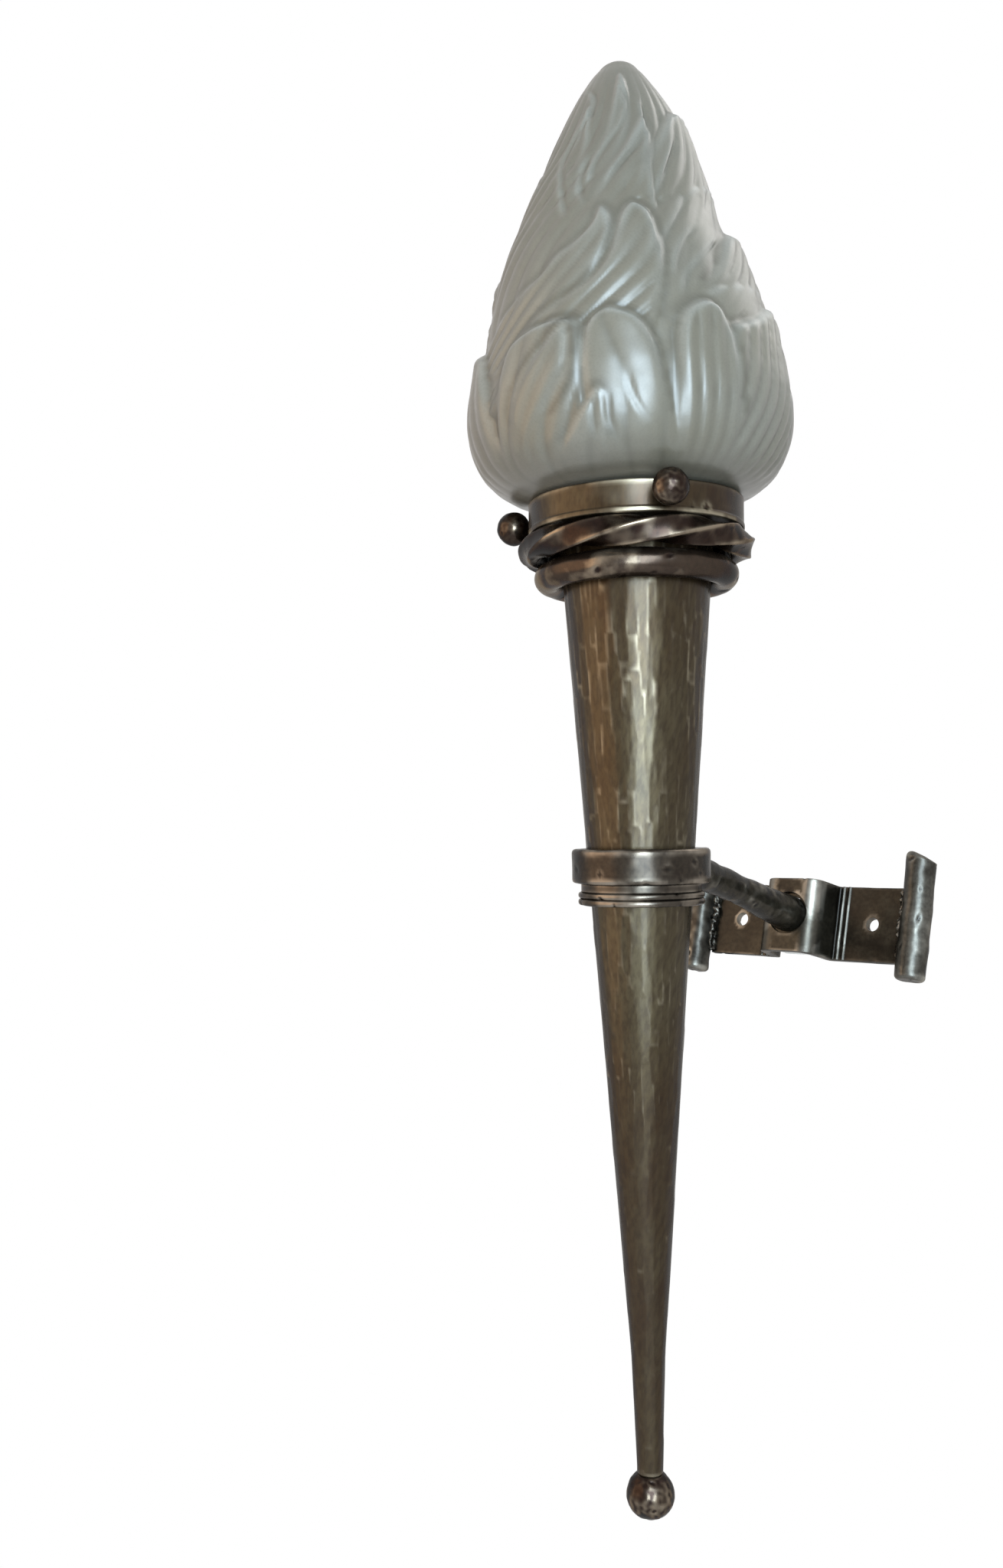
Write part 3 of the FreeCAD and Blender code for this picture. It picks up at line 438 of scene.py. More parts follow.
def patinated_iron(name, dark, middle, light, worn, rough, wax=0.3, rubbed=0.9, lengthwise=False):
    """Waxed iron: broad soft patina, light worn edges in patches and dark grime in the corners."""
    material, tree, skin = new_finish(name)
    stretch = (1, 1, 0.3) if lengthwise else (1, 1, 1)
    turn = (math.radians(-TORCH_LEAN), 0, 0)
    broad = mottle(tree, 46, 3, stretch, turn)
    small = mottle(tree, 7, 5, stretch, turn)
    grain = mottle(tree, 1.8, 5, stretch, turn)
    patches = span(tree, mottle(tree, 16, 4), 0.44, 0.60, 0.12 * rubbed, rubbed)
    colour = ramp(tree, broad, ((0.3, dark), (0.5, middle), (0.7, light)))
    coats = [(span(tree, small, 0.42, 0.72, 0.0, 0.45), light),
             (span(tree, noted(tree, "tone"), 0, 1, 0.0, 0.3), light),
             (span(tree, grain, 0.35, 0.60, 0.45, 0.0), tuple(0.5 * c for c in dark)),
             (times(tree, noted(tree, "wear"), patches), worn),
             (times(tree, noted(tree, "grime"), 0.8), tuple(0.35 * c for c in dark))]
    for amount, coat in coats:
        colour = blended(tree, amount, colour, coat)
    feed(tree, skin, {"Base Color": colour, "Metallic": 0.85,
                      "Roughness": span(tree, small, 0.3, 0.7, rough - 0.05, rough + 0.10),
                      "Specular IOR Level": 0.3, "Specular Tint": (0.30, 0.27, 0.23),
                      "Coat Weight": wax, "Coat Roughness": 0.27})
    relief(tree, skin, mottle(tree, 1.3, 4), 0.22, 0.10)
    return material


def plain_metal(name, colour, tarnish, rough):
    """Plated or turned metal with a light tarnish."""
    material, tree, skin = new_finish(name)
    cloud = mottle(tree, 9, 5)
    feed(tree, skin, {"Base Color": ramp(tree, cloud, ((0.35, colour), (0.7, tarnish))),
                      "Roughness": span(tree, cloud, 0.3, 0.7, rough, rough + 0.18),
                      "Metallic": 0.95})
    relief(tree, skin, mottle(tree, 0.8, 2), 0.2, 0.04)
    return material


def dull_stuff(name, colour, second, rough, grain, depth):
    """Moulded, fired or pressed stuff with a fine grain."""
    material, tree, skin = new_finish(name)
    cloud = mottle(tree, grain * 6, 4)
    feed(tree, skin, {"Base Color": ramp(tree, cloud, ((0.35, colour), (0.65, second))),
                      "Roughness": span(tree, cloud, 0.3, 0.7, rough, rough + 0.12)})
    relief(tree, skin, mottle(tree, grain, 3), 0.3, depth)
    return material


def etched_glass():
    """Milky grey satin glass: a painted highlight on each leaf's crest, painted shade in each hollow.
    """
    material, tree, skin = new_finish("satin etched glass")
    cloud, grain = mottle(tree, 42, 3), mottle(tree, 0.9, 3)
    colour = ramp(tree, cloud, ((0.3, (0.220, 0.193, 0.143)), (0.7, (0.270, 0.245, 0.200))))
    # a painted highlight on the crest of each leaf and fold, painted shade in each hollow and under
    # the leaf tips; then a fine darker grain
    coats = [(times(tree, noted(tree, "crest"), 0.6), (0.50, 0.49, 0.44)),
             (times(tree, noted(tree, "painted_shade"), 0.75), (0.10, 0.09, 0.065)),
             (span(tree, grain, 0.35, 0.55, 0.22, 0.0), (0.14, 0.13, 0.10))]
    for amount, coat in coats:
        colour = blended(tree, amount, colour, coat)
    feed(tree, skin, {"Base Color": colour, "Transmission Weight": 0.55, "IOR": 1.5,
                      "Roughness": span(tree, mottle(tree, 6, 4), 0.3, 0.7, 0.28, 0.38),
                      "Specular IOR Level": 0.55})
    relief(tree, skin, mottle(tree, 0.7, 2), 0.15, 0.03)
    return material


def clear_glass():
    """The bulb's thin glass."""
    material, tree, skin = new_finish("bulb glass")
    colour = ramp(tree, mottle(tree, 30, 2), ((0.3, (0.93, 0.95, 0.94)), (0.7, (0.97, 0.98, 0.97))))
    feed(tree, skin, {"Base Color": colour, "Transmission Weight": 0.96, "IOR": 1.45,
                      "Roughness": span(tree, mottle(tree, 12, 3), 0.3, 0.7, 0.02, 0.06)})
    return material


FORGED = patinated_iron(
    "forged bracket iron", (0.009, 0.007, 0.005), (0.016, 0.013, 0.009),
    (0.042, 0.036, 0.025), (0.22, 0.20, 0.17), rough=0.33, wax=0.25)
BRONZED = patinated_iron(
    "bronzed torch iron", (0.024, 0.0105, 0.0035), (0.035, 0.0215, 0.008),
    (0.050, 0.038, 0.0195), (0.24, 0.20, 0.14), rough=0.34, wax=0.34, rubbed=1.0,
    lengthwise=True)
BROWNED = patinated_iron(
    "browned ring iron", (0.008, 0.0027, 0.0012), (0.013, 0.005, 0.0025),
    (0.021, 0.010, 0.006), (0.22, 0.17, 0.12), rough=0.24, wax=0.2)
COLLAR_IRON = patinated_iron(
    "waxed collar iron", (0.010, 0.005, 0.0028), (0.017, 0.010, 0.006),
    (0.028, 0.021, 0.014), (0.20, 0.165, 0.13), rough=0.29)
RUBBED_IRON = patinated_iron(
    "rubbed end bar iron", (0.014, 0.011, 0.008), (0.032, 0.028, 0.022),
    (0.080, 0.074, 0.062), (0.30, 0.28, 0.24), rough=0.36)
SATIN_GLASS = etched_glass()
INSULATION = {
    "brown": ((0.10, 0.045, 0.02), (0.14, 0.065, 0.03)),
    "blue": ((0.03, 0.09, 0.30), (0.05, 0.13, 0.38)),
    "green": ((0.03, 0.20, 0.05), (0.55, 0.52, 0.05)),
}
# the finish of each material slot in the record
CARRIED = {
    "plated_steel": plain_metal("zinc plated steel", (0.52, 0.52, 0.50), (0.34, 0.34, 0.33), 0.28),
    "brass": plain_metal("turned brass", (0.62, 0.45, 0.18), (0.38, 0.26, 0.10), 0.25),
    "bulb_cap_metal": plain_metal("bulb cap brass", (0.66, 0.52, 0.27), (0.48, 0.36, 0.18), 0.22),
    "filament": plain_metal("filament strip", (0.85, 0.55, 0.13), (0.70, 0.42, 0.10), 0.35),
    "black_moulding": dull_stuff("black moulding", (0.012, 0.012, 0.012), (0.030, 0.028, 0.026),
                                 rough=0.32, grain=0.6, depth=0.03),
    "white_ceramic": dull_stuff("white ceramic", (0.72, 0.70, 0.64), (0.82, 0.80, 0.75),
                                rough=0.3, grain=0.8, depth=0.03),
    "fibre": dull_stuff("pressed fibre", (0.22, 0.12, 0.07), (0.32, 0.19, 0.11),
                        rough=0.7, grain=0.5, depth=0.08),
    "frosted_glass": SATIN_GLASS,
    "bulb_glass": clear_glass(),
    "forged_steel": FORGED,
    "bronzed_torch": BRONZED,
    "browned_steel": BROWNED,
}
for shade_name, shades in INSULATION.items():
    CARRIED[f"{shade_name}_insulation"] = dull_stuff(
        f"{shade_name} insulation", *shades, rough=0.4, grain=0.9, depth=0.02)


def dress_carried_nodes():
    """Every CAD node gets the finish of its slot, and keeps it where no new piece replaces it."""
    slot_of = {part["node"]: part["material_slot"] for part in frame["record"]["subparts"]}
    for name, node in frame["nodes"].items():
        node.data.materials.clear()
        node.data.materials.append(CARRIED[slot_of[name]])


# -------- torch


def cone_radius(height):
    """The torch's outer radius at a height above the collar's middle."""
    return float(np.interp(height, (CONE_TIP, CONE_KNEE, CONE_TOP),
                           (CONE_TIP_RADIUS, CONE_KNEE_RADIUS, CONE_MOUTH_RADIUS)))


def make_torch_cone():
    """The long hammered cone, hollow down to just above its knee."""
    def inner(height):
        return cone_radius(height) - CONE_WALL

    outline = arcs([(0, CONE_TIP), (CONE_TIP_RADIUS, CONE_TIP, CONE_TIP_ROUND),
                    (CONE_KNEE_RADIUS, CONE_KNEE), (CONE_MOUTH_RADIUS, CONE_TOP)], fine=1.3)
    outline += arcs([(inner(CONE_TOP), CONE_TOP), (inner(CONE_HOLLOW), CONE_HOLLOW),
                     (0, CONE_HOLLOW)], fine=12)
    cone = turned("torch_cone_hammered", outline, steps=240)
    planish(cone, blows=1100, across=(3.4, 6.2), along=(12, 32), depth=0.22, seed=11,
            skin=cone_radius)
    finish_off(cone, TORCH, BRONZED, ["torch_cone"], smooth=60)


def make_finial():
    """A ball with flats knocked on it, seated on the torch's tip."""
    deselect()
    bpy.ops.mesh.primitive_uv_sphere_add(segments=96, ring_count=64, radius=FINIAL_RADIUS * MM)
    ball = fresh("finial_ball_hammered")
    bpy.ops.object.mode_set(mode="EDIT")
    bpy.ops.mesh.select_all(action="SELECT")
    bpy.ops.mesh.bisect(plane_co=(0, 0, FINIAL_DROP * MM), plane_no=(0, 0, 1),
                        use_fill=True, clear_outer=True)
    tidy_shell()
    bpy.ops.object.mode_set(mode="OBJECT")
    knock(ball, spread=6.0, depth=0.35, seed=3, nicks=5)
    place = up_torch(CONE_TIP - FINIAL_DROP)
    finish_off(ball, place, BROWNED, ["finial_ball"], smooth=60)


def band_outline(radius, foot, top, edge, fine=1.0):
    """The outline of a band round the torch, whose bore follows the torch's taper."""
    return arcs([(cone_radius(foot), foot), (radius, foot, edge), (radius, top, edge),
                 (cone_radius(top), top), (cone_radius(foot), foot)], fine)


def make_collar():
    """The forged collar, the seat ring in its shadow and the two thin keeper rings."""
    half = COLLAR_HEIGHT / 2
    outline = band_outline(COLLAR_RADIUS, -half, half, COLLAR_ROUND)
    collar = turned("collar_band_forged", outline, steps=220)
    knock(collar, spread=16, depth=0.30, seed=5, nicks=26)
    finish_off(collar, TORCH, COLLAR_IRON, ["collar_band"], smooth=60)
    foot = -half - SEAT_HEIGHT
    outline = band_outline(SEAT_RADIUS, foot, -half, SEAT_ROUND)
    seat = turned("collar_seat_ring_forged", outline, steps=160)
    finish_off(seat, TORCH, COLLAR_IRON, ["collar_seat_ring"])
    for name, seed in (("upper", 2), ("lower", -1)):
        top, foot = foot, foot - KEEPER_HEIGHT
        outline = band_outline(KEEPER_RADIUS, foot, top, KEEPER_ROUND, fine=0.6)
        ring = turned(f"retaining_ring_{name}_forged", outline, steps=180)
        knock(ring, spread=18, depth=0.20, seed=seed, nicks=6)
        finish_off(ring, TORCH, COLLAR_IRON, [f"retaining_ring_{name}"])


def make_round_ring():
    """The ring of round bar under the twisted ring, uneven and nicked."""
    height = CONE_TOP - ROUND_RING_DROP
    middle = cone_radius(height) + ROUND_BAR - ROUND_RING_BITE
    deselect()
    bpy.ops.mesh.primitive_torus_add(
        major_segments=260, minor_segments=44,
        major_radius=middle * MM, minor_radius=ROUND_BAR * MM)
    ring = fresh("round_ring_forged")
    knock(ring, spread=22, depth=0.45, seed=4, nicks=24, nick=(1.0, 2.0))
    finish_off(ring, up_torch(height), BROWNED, ["round_ring"], smooth=60)


def make_twisted_ring():
    """Square bar twisted by quarter turns and bent into a ring, with softened corners."""
    half = TWIST_SIDE / 2
    height = CONE_TOP - TWIST_SIDE / math.sqrt(2)
    corner = arcs([(half, 0), (half, half, TWIST_ROUND), (0, half)], fine=0.9)
    section = []
    for quarter in range(4):
        turn = Matrix.Rotation(math.radians(90 * quarter), 2)
        section += [turn @ point for point in corner[:-1]]
    deselect()
    bpy.ops.mesh.primitive_torus_add(
        major_segments=400, minor_segments=len(section),
        major_radius=TWIST_RADIUS * MM, minor_radius=half * MM)
    ring = fresh("twisted_ring_forged")
    # each point of the round bar moves to its point of the square, turned by the twist there
    spots = places(ring)
    bend = np.arctan2(spots[:, 1], spots[:, 0])
    out = np.hypot(spots[:, 0], spots[:, 1]) / MM - TWIST_RADIUS
    up = spots[:, 2] / MM
    point = np.rint(np.arctan2(up, out) / math.tau * len(section)).astype(int) % len(section)
    square = np.array([(p.x, p.y) for p in section])[point]
    twist = bend * QUARTER_TURNS / 4
    out = square[:, 0] * np.cos(twist) - square[:, 1] * np.sin(twist)
    up = square[:, 0] * np.sin(twist) + square[:, 1] * np.cos(twist)
    radius = (TWIST_RADIUS + out) * MM
    move_to(ring, np.stack([radius * np.cos(bend), radius * np.sin(bend), up * MM], 1))
    knock(ring, spread=16, depth=0.40, seed=9, nicks=22)
    finish_off(ring, up_torch(height), BROWNED, ["twisted_ring"], smooth=50)


def screw_place(number):
    """The frame of one ball-headed screw: its Z axis runs out along the screw."""
    turn = Matrix.Rotation(math.radians(FIRST_SCREW + 360 / SCREWS * number), 4, "Z")
    return up_torch(CONE_TOP + SCREW_RISE) @ turn @ Matrix.Rotation(math.pi / 2, 4, "Y")


def make_gallery():
    """The shallow cup that holds the glass, drilled for its three screws."""
    foot, inside = CONE_TOP, CONE_TOP + GALLERY_FLOOR
    top, lip_top = CONE_TOP + GALLERY_HEIGHT, CONE_TOP + GALLERY_LIP_HEIGHT
    lip, bore = GALLERY_RADIUS + GALLERY_LIP, GALLERY_RADIUS - GALLERY_WALL
    outline = arcs([(NIPPLE_RADIUS, foot), (lip, foot, 0.8), (lip, lip_top, 0.7),
                    (GALLERY_RADIUS, lip_top + 0.8, 0.8), (GALLERY_RADIUS, top, 0.7),
                    (bore, top, 0.5), (bore, inside, 1.0), (NIPPLE_RADIUS, inside),
                    (NIPPLE_RADIUS, foot)], fine=1.1)
    cup = turned("gallery_cup_spun", outline, steps=240)
    knock(cup, spread=24, depth=0.22, seed=2, nicks=16)
    put(cup, TORCH)
    to_wall = Matrix.Translation((0, 0, NECK_RADIUS * MM))
    drills = [drill_rod(SCREW_RADIUS + SCREW_GAP, 8, screw_place(number) @ to_wall)
              for number in range(SCREWS)]
    drilled(cup, drills)
    finish_off(cup, Matrix.Identity(4), BRONZED, ["gallery_cup"])


def make_screws():
    """Three screws: a threaded shank and a hammered ball for a head."""
    pitch, depth, neck = 0.8, 0.35, SCREW_BALL_PLACE - SCREW_BALL + 0.5
    outline = [(0, SCREW_TIP)]
    crest = SCREW_TIP + 0.3
    while crest < neck:
        outline += [(SCREW_RADIUS - depth, crest), (SCREW_RADIUS, crest + pitch / 2)]
        crest += pitch
    outline += [(SCREW_RADIUS, neck + 1.5), (0, neck + 1.5)]
    for number in range(SCREWS):
        name = f"thumbscrew_{number + 1}"
        shank = turned(f"screw_shank_{number + 1}", outline, steps=40)
        deselect()
        bpy.ops.mesh.primitive_uv_sphere_add(segments=72, ring_count=48, radius=SCREW_BALL * MM)
        ball = bpy.context.object
        knock(ball, spread=5.0, depth=0.22, seed=20 + number, nicks=3)
        put(ball, Matrix.Translation((0, 0, SCREW_BALL_PLACE * MM)))
        screw = joined([ball, shank], f"{name}_forged")
        finish_off(screw, screw_place(number), BROWNED, [name], name, smooth=50)


# -------- glass flame

# the flame's body under its leaves: (height, radius)
FLAME_BODY = [(153.2, 44), (155, 50), (158, 55), (163, 59.5), (170, 63), (178, 65), (190, 64.8),
              (201, 62.6), (213, 59.8), (227, 56.4), (240, 52.2), (252, 47.6), (265, 41.8),
              (278, 37.4), (291, 31.9), (304, 26.8), (317, 20.8), (327, 15), (334, 9.8),
              (338.5, 5), (340.6, 0)]
# its sideways sway, towards the camera's right: (height, sway)
FLAME_SWAY = [(141, 0), (153, -1), (166, -2), (181, -2.2), (200, -2), (218, -2), (232, -3),
              (246, -4.6), (262, -5.8), (278, -5.2), (294, -4), (314, -4), (329, -4.5), (341, -4.5)]

DEGREE = math.radians(1)
# strands that wind up the flame between its leaves: how many, degrees of winding per mm, depth
STRANDS, STRAND_WINDING, STRAND_DEPTH = 28, 0.62, 1.2
# a fold's groove and the ridge beside it: half widths, and the distance between them, in mm
FOLD_GROOVE, FOLD_RIDGE, RIDGE_AWAY = 0.9, 1.1, 1.9
# leaves round the back of the lowest tier: the first one's angle, then the widths in degrees
BACK_LEAVES_FROM, BACK_LEAF_WIDTHS = 76.0, (40, 33, 37, 42, 34, 38)

# leaves of the flame, the lowest tier last. Each is an outline of (angle, height) points seen
# from the camera's side, how far it stands out at its foot and at its tip, and its flutes:
# (lean in degrees per mm, degrees from one flute to the next, depth)
PEAK_LEAVES = [
    ([(-75, 262), (-60, 272), (-50, 284), (-43, 297), (-38, 311), (-31, 306), (-28, 290),
      (-33, 272), (-44, 256)], 0.2, 1.9, (0.1, 11, 1.4)),
    ([(-44, 255), (-34, 268), (-26, 282), (-18, 297), (-13, 314), (-6, 327), (3, 323),
      (3, 304), (-5, 286), (-15, 268), (-22, 254)], 0.3, 2.0, (0.55, 12, 1.5)),
    ([(-36, 243), (-28, 251), (-17, 268), (-6, 284), (4, 297), (12, 303), (17, 294),
      (12, 276), (8, 258), (-6, 240)], 0.5, 2.3, (0.75, 11, 1.6)),
    ([(5, 262), (13, 281), (24, 296), (40, 307), (58, 311), (78, 309), (92, 298), (88, 284),
      (60, 272)], 1.2, 2.8, (0.75, 12, 1.7)),
]
UPPER_LEAVES = [
    ([(14, 246), (20, 258), (31, 268), (48, 275), (68, 279), (88, 276), (100, 268), (96, 250),
      (60, 238)], 0.4, 1.6, (0.9, 10, 2.0)),
    ([(-84, 205), (-66, 221), (-51, 229), (-42, 233.5), (-35, 239.5), (-26, 244.5), (-18, 251.5),
      (-14, 259.5), (-9, 255), (-10, 243), (-27, 217), (-52, 196)], 1.0, 3.4, (1.0, 9, 1.3)),
    ([(19, 215), (22, 221), (36, 236), (52, 252), (70, 259), (88, 256), (98, 245), (92, 226),
      (60, 208)], 0.3, 5.6, (0.95, 8, 2.0)),
    ([(-66, 180), (-58, 194), (-53, 205), (-45, 213), (-34, 219.5), (-22, 225), (-13, 234.5),
      (-8, 246), (-4, 255.5), (2, 260.5), (9, 257), (11.5, 248), (11, 236), (7, 218), (0, 198),
      (-24, 182)], 1.2, 4.2, (0.95, 10, 1.5)),
    ([(12, 205), (20, 219), (33, 226), (50, 231), (66, 234), (84, 236), (102, 230), (104, 212),
      (70, 192)], 0.3, 1.7, (1.1, 8, 2.0)),
]
FOOT_LEAVES = [
    ([(-64, 150), (-60, 167), (-57, 181), (-56, 195), (-53, 204.5), (-47, 209), (-40, 211),
      (-32, 212), (-24, 210.5), (-21, 203), (-20, 190), (-19.5, 174), (-18, 150)],
     1.2, 4.8, (0.28, 9, 1.7)),
    ([(33, 150), (32, 176), (31, 195), (33, 208), (40, 212), (48, 216), (56, 221), (63, 224.5),
      (70, 218), (74, 197), (75, 150)], 1.2, 5.2, (0.26, 6.5, 1.9)),
    ([(12, 150), (11.5, 166), (11, 184), (11.5, 203), (14.5, 211.5), (21, 217), (26, 217.5),
      (31, 213), (34, 201), (35, 183), (37, 150)], 1.4, 4.8, (0.0, 5.6, 1.7)),
    ([(-19, 150), (-20, 174), (-21.5, 194), (-20, 208), (-14, 213.5), (-8, 212.5), (-2, 209),
      (2, 203), (5, 195), (6.5, 184), (8.5, 174), (12, 162), (15, 150)],
     1.4, 5.2, (-0.16, 13, 0.8)),
    ([(-57, 154), (-51, 166), (-50, 177), (-47, 187), (-40, 197), (-34, 204), (-28, 209.5),
      (-25.5, 206), (-24.5, 197), (-24, 189), (-28, 181), (-36, 172), (-44, 163), (-49, 154)],
     2.2, 6.2, (0.55, 7, 1.3)),
    ([(-38, 154), (-28, 166), (-21, 175), (-15.5, 182), (-12.5, 177), (-13, 166), (-15, 154)],
     2.2, 3.9, (0.5, 12, 0.5)),
]
# fine folds between and on the leaves: (angle, height) points from the top down, and a depth
FOLDS = [
    ([(-50, 324), (-30, 314), (-31, 308), (-40, 298), (-45, 288), (-40, 276), (-30, 256)], 0.9),
    ([(-24, 287), (-26, 276), (-25, 268), (-20, 261)], 0.8),
    ([(-6, 321), (1, 311), (-2, 301), (-12, 291), (-18, 282), (-21, 271)], 1.0),
    ([(17, 313), (16, 300), (9, 290), (-3, 280), (-12, 270)], 1.0),
    ([(22, 293), (16, 278), (16, 267), (16, 256)], 1.0),
    ([(40, 296), (28, 282), (22, 272), (14, 261)], 1.1),
    ([(36, 266), (22, 252), (15, 244), (12, 235)], 1.2),
    ([(38, 255), (26, 246), (18, 236), (14, 225)], 1.1),
    ([(52, 253), (32, 239), (22, 230), (16, 218)], 1.2),
    ([(10, 255), (10, 244), (6, 234)], 0.8),
    ([(-16, 181), (-17, 173), (-17, 162)], 1.1),
    ([(-12, 180), (-12, 170), (-9, 161)], 1.0),
    ([(-6, 188), (-4, 178), (1, 168)], 0.9),
    ([(-77, 310), (-80, 295), (-62, 275)], 0.8),
]


def through(points, at):
    """A smooth curve through (x, y) points, read at the given places."""
    x, y = np.array(points, float).T
    slope = np.gradient(y, x)
    i = np.clip(np.searchsorted(x, at) - 1, 0, len(x) - 2)
    run = x[i + 1] - x[i]
    t = np.clip((at - x[i]) / run, 0, 1)
    return ((2 * t ** 3 - 3 * t ** 2 + 1) * y[i] + (t ** 3 - 2 * t ** 2 + t) * run * slope[i]
            + (3 * t ** 2 - 2 * t ** 3) * y[i + 1] + (t ** 3 - t ** 2) * run * slope[i + 1])


def rounded_loop(points, parts):
    """A closed smooth line through the points of a leaf's outline, in parts from each to the next."""
    ring = np.array(points, float)
    before, after, beyond = np.roll(ring, 1, 0), np.roll(ring, -1, 0), np.roll(ring, -2, 0)
    line = []
    for t in np.arange(parts) / parts:
        line.append(0.5 * (2 * ring + (after - before) * t
                           + (2 * before - 5 * ring + 4 * after - beyond) * t ** 2
                           + (3 * ring - before - 3 * after + beyond) * t ** 3))
    return np.stack(line, 1).reshape(-1, 2)


def depth_inside(loop, across, up):
    """How far in mm each place lies inside a closed line; below zero is outside."""
    nearest, crossings = np.full(across.shape, 1e9), np.zeros(across.shape, int)
    for (x1, y1), (x2, y2) in zip(loop, np.roll(loop, -1, 0)):
        dx, dy = x2 - x1, y2 - y1
        t = np.clip(((across - x1) * dx + (up - y1) * dy) / (dx * dx + dy * dy + 1e-12), 0, 1)
        nearest = np.minimum(nearest, (across - x1 - t * dx) ** 2 + (up - y1 - t * dy) ** 2)
        if abs(dy) > 1e-9:
            straddles = (y1 > up) != (y2 > up)
            crossings += straddles & (across < x1 + (up - y1) / dy * dx)
    return np.where(crossings % 2 == 1, 1, -1) * np.sqrt(nearest)


def turned_leaves(leaves, turn, rise=0.0):
    """The same leaves further round the flame, a little higher or lower."""
    return [([(angle + turn, height + rise) for angle, height in outline], *rest)
            for outline, *rest in leaves]


def all_leaves():
    """The leaves seen from the camera's side and those that carry on round the back."""
    chance = random.Random(5)
    leaves = turned_leaves(PEAK_LEAVES, 176) + PEAK_LEAVES
    leaves += turned_leaves(UPPER_LEAVES, 170, -2) + UPPER_LEAVES
    place = BACK_LEAVES_FROM
    for width in BACK_LEAF_WIDTHS:
        top = 206 + chance.uniform(-3, 7)
        lean = chance.uniform(-5, 5)
        outline = [(0.02, 150), (0.0, 174), (0.06, 192), (0.22, top - 3), (0.45, top + 1),
                   (0.7, top - 2), (0.92, 194), (1.0, 176), (0.98, 150)]
        outline = [(place + across * width + lean * max(0, height - 165) / 40, height)
                   for across, height in outline]
        leaves.append((outline, 1.3, 5.2, (lean / 40, 9.5, 1.2)))
        place += width
    return leaves + FOOT_LEAVES


def strands(angle, height):
    """How far the strands between the leaves stand out, and the shade painted in the hollow between
    each two.
    """
    winding = angle - STRAND_WINDING * height + 9 * np.sin(height / 17)
    wave = np.abs(np.sin(np.radians(winding) * STRANDS / 2)) ** 0.8
    grows = np.clip((height - 200) / 25, 0, 1) * np.clip((330 - height) / 30, 0.1, 1)
    painted_shade = 0.7 * np.clip(1 - wave / 0.35, 0, 1) * grows
    return STRAND_DEPTH * wave * grows, painted_shade


def lay_leaf(leaf, angle, height, radius, raised, crest, painted_shade):
    """Lay one leaf over those drawn before it: it shows wherever it stands out further."""
    outline, foot_lift, tip_lift, (lean, spacing, flute) = leaf
    middle = (min(a for a, _ in outline) + max(a for a, _ in outline)) / 2
    low, high = min(h for _, h in outline), max(h for _, h in outline)
    side = (angle - middle + 180) % 360 - 180
    near = np.flatnonzero((np.abs(side) < 75) & (height > low - 4) & (height < high + 4))
    side, up = side[near], height[near]
    loop = rounded_loop(outline, parts=5)
    loop_radius = through(FLAME_BODY, loop[:, 1])
    loop[:, 0] = (loop[:, 0] - middle) * DEGREE * np.maximum(loop_radius, 8)
    inside = depth_inside(loop, side * (DEGREE * radius[near]), up)
    t = np.clip((up - low) / (high - low), 0, 1)
    rounding = max(2.4, 0.95 * tip_lift)
    edge = 1 - (1 - np.clip((inside + 0.5) / rounding, 0, 1)) ** 2
    lip = np.exp(-((inside - 1.8) / 1.3) ** 2) * t ** 2
    wander = 0.12 * spacing * np.sin(up / 9 + middle)
    wave = np.abs(np.sin((side - lean * (up - low) + wander) * math.pi / spacing))
    flutes = (wave ** 0.8 - 0.75) * flute * np.clip(inside / 4, 0, 1) * (1 - 0.45 * t)
    lift = (foot_lift + (tip_lift - foot_lift) * t ** 1.6) * edge + 0.5 * lip + flutes
    lift = np.where(inside > -0.5, lift, -1)
    over = lift > raised[near]
    on_leaf = near[over]
    raised[on_leaf] = lift[over]
    # a painted highlight along the leaf's lip, and painted shade in each flute's groove
    crest[on_leaf] = np.clip(lip[over] * 1.2, 0, 1)
    groove = np.clip(1 - wave / 0.35, 0, 1) * np.clip(inside / 3, 0, 1)
    painted_shade[on_leaf] = 0.75 * groove[over]
    # what lies just outside the upper part of a leaf is shaded by it
    skirt = near[(inside < 0.3) & (inside > -2.5) & (t > 0.35) & ~over]
    painted_shade[skirt] = np.maximum(painted_shade[skirt], min(0.85, 0.16 * tip_lift))


def leaf_relief(angle, height, radius):
    """How far the leaves stand out, with the highlight painted on their crest lines and the shade
    painted in their hollows.
    """
    raised, painted_shade = strands(angle, height)
    crest = np.zeros_like(raised)
    for leaf in all_leaves():
        lay_leaf(leaf, angle, height, radius, raised, crest, painted_shade)
    return raised, crest, painted_shade


def drawn_folds(angle, height, radius):
    """The same three for fine folds: a shallow groove with painted shade, a ridge beside it with
    painted highlight.
    """
    raised, crest, painted_shade = (np.zeros(len(angle)) for _ in range(3))
    for points, depth in FOLDS:
        line = sorted((up, across) for across, up in points)
        low, high = line[0][0], line[-1][0]
        middle = through(line, np.clip(height, low, high))
        away = ((angle - middle + 180) % 360 - 180) * DEGREE * radius
        ends = np.clip((height - low) / 6, 0, 1) * np.clip((high - height) / 6, 0, 1)
        groove = np.exp(-(away / FOLD_GROOVE) ** 2) * ends
        ridge = np.exp(-((away + RIDGE_AWAY) / FOLD_RIDGE) ** 2) * ends
        raised += depth * (0.38 * ridge - 0.8 * groove)
        # painted highlight on the ridge, painted shade in the groove
        crest, painted_shade = np.maximum(crest, 0.6 * ridge), np.maximum(painted_shade, 0.55 * groove)
    return raised, crest, painted_shade


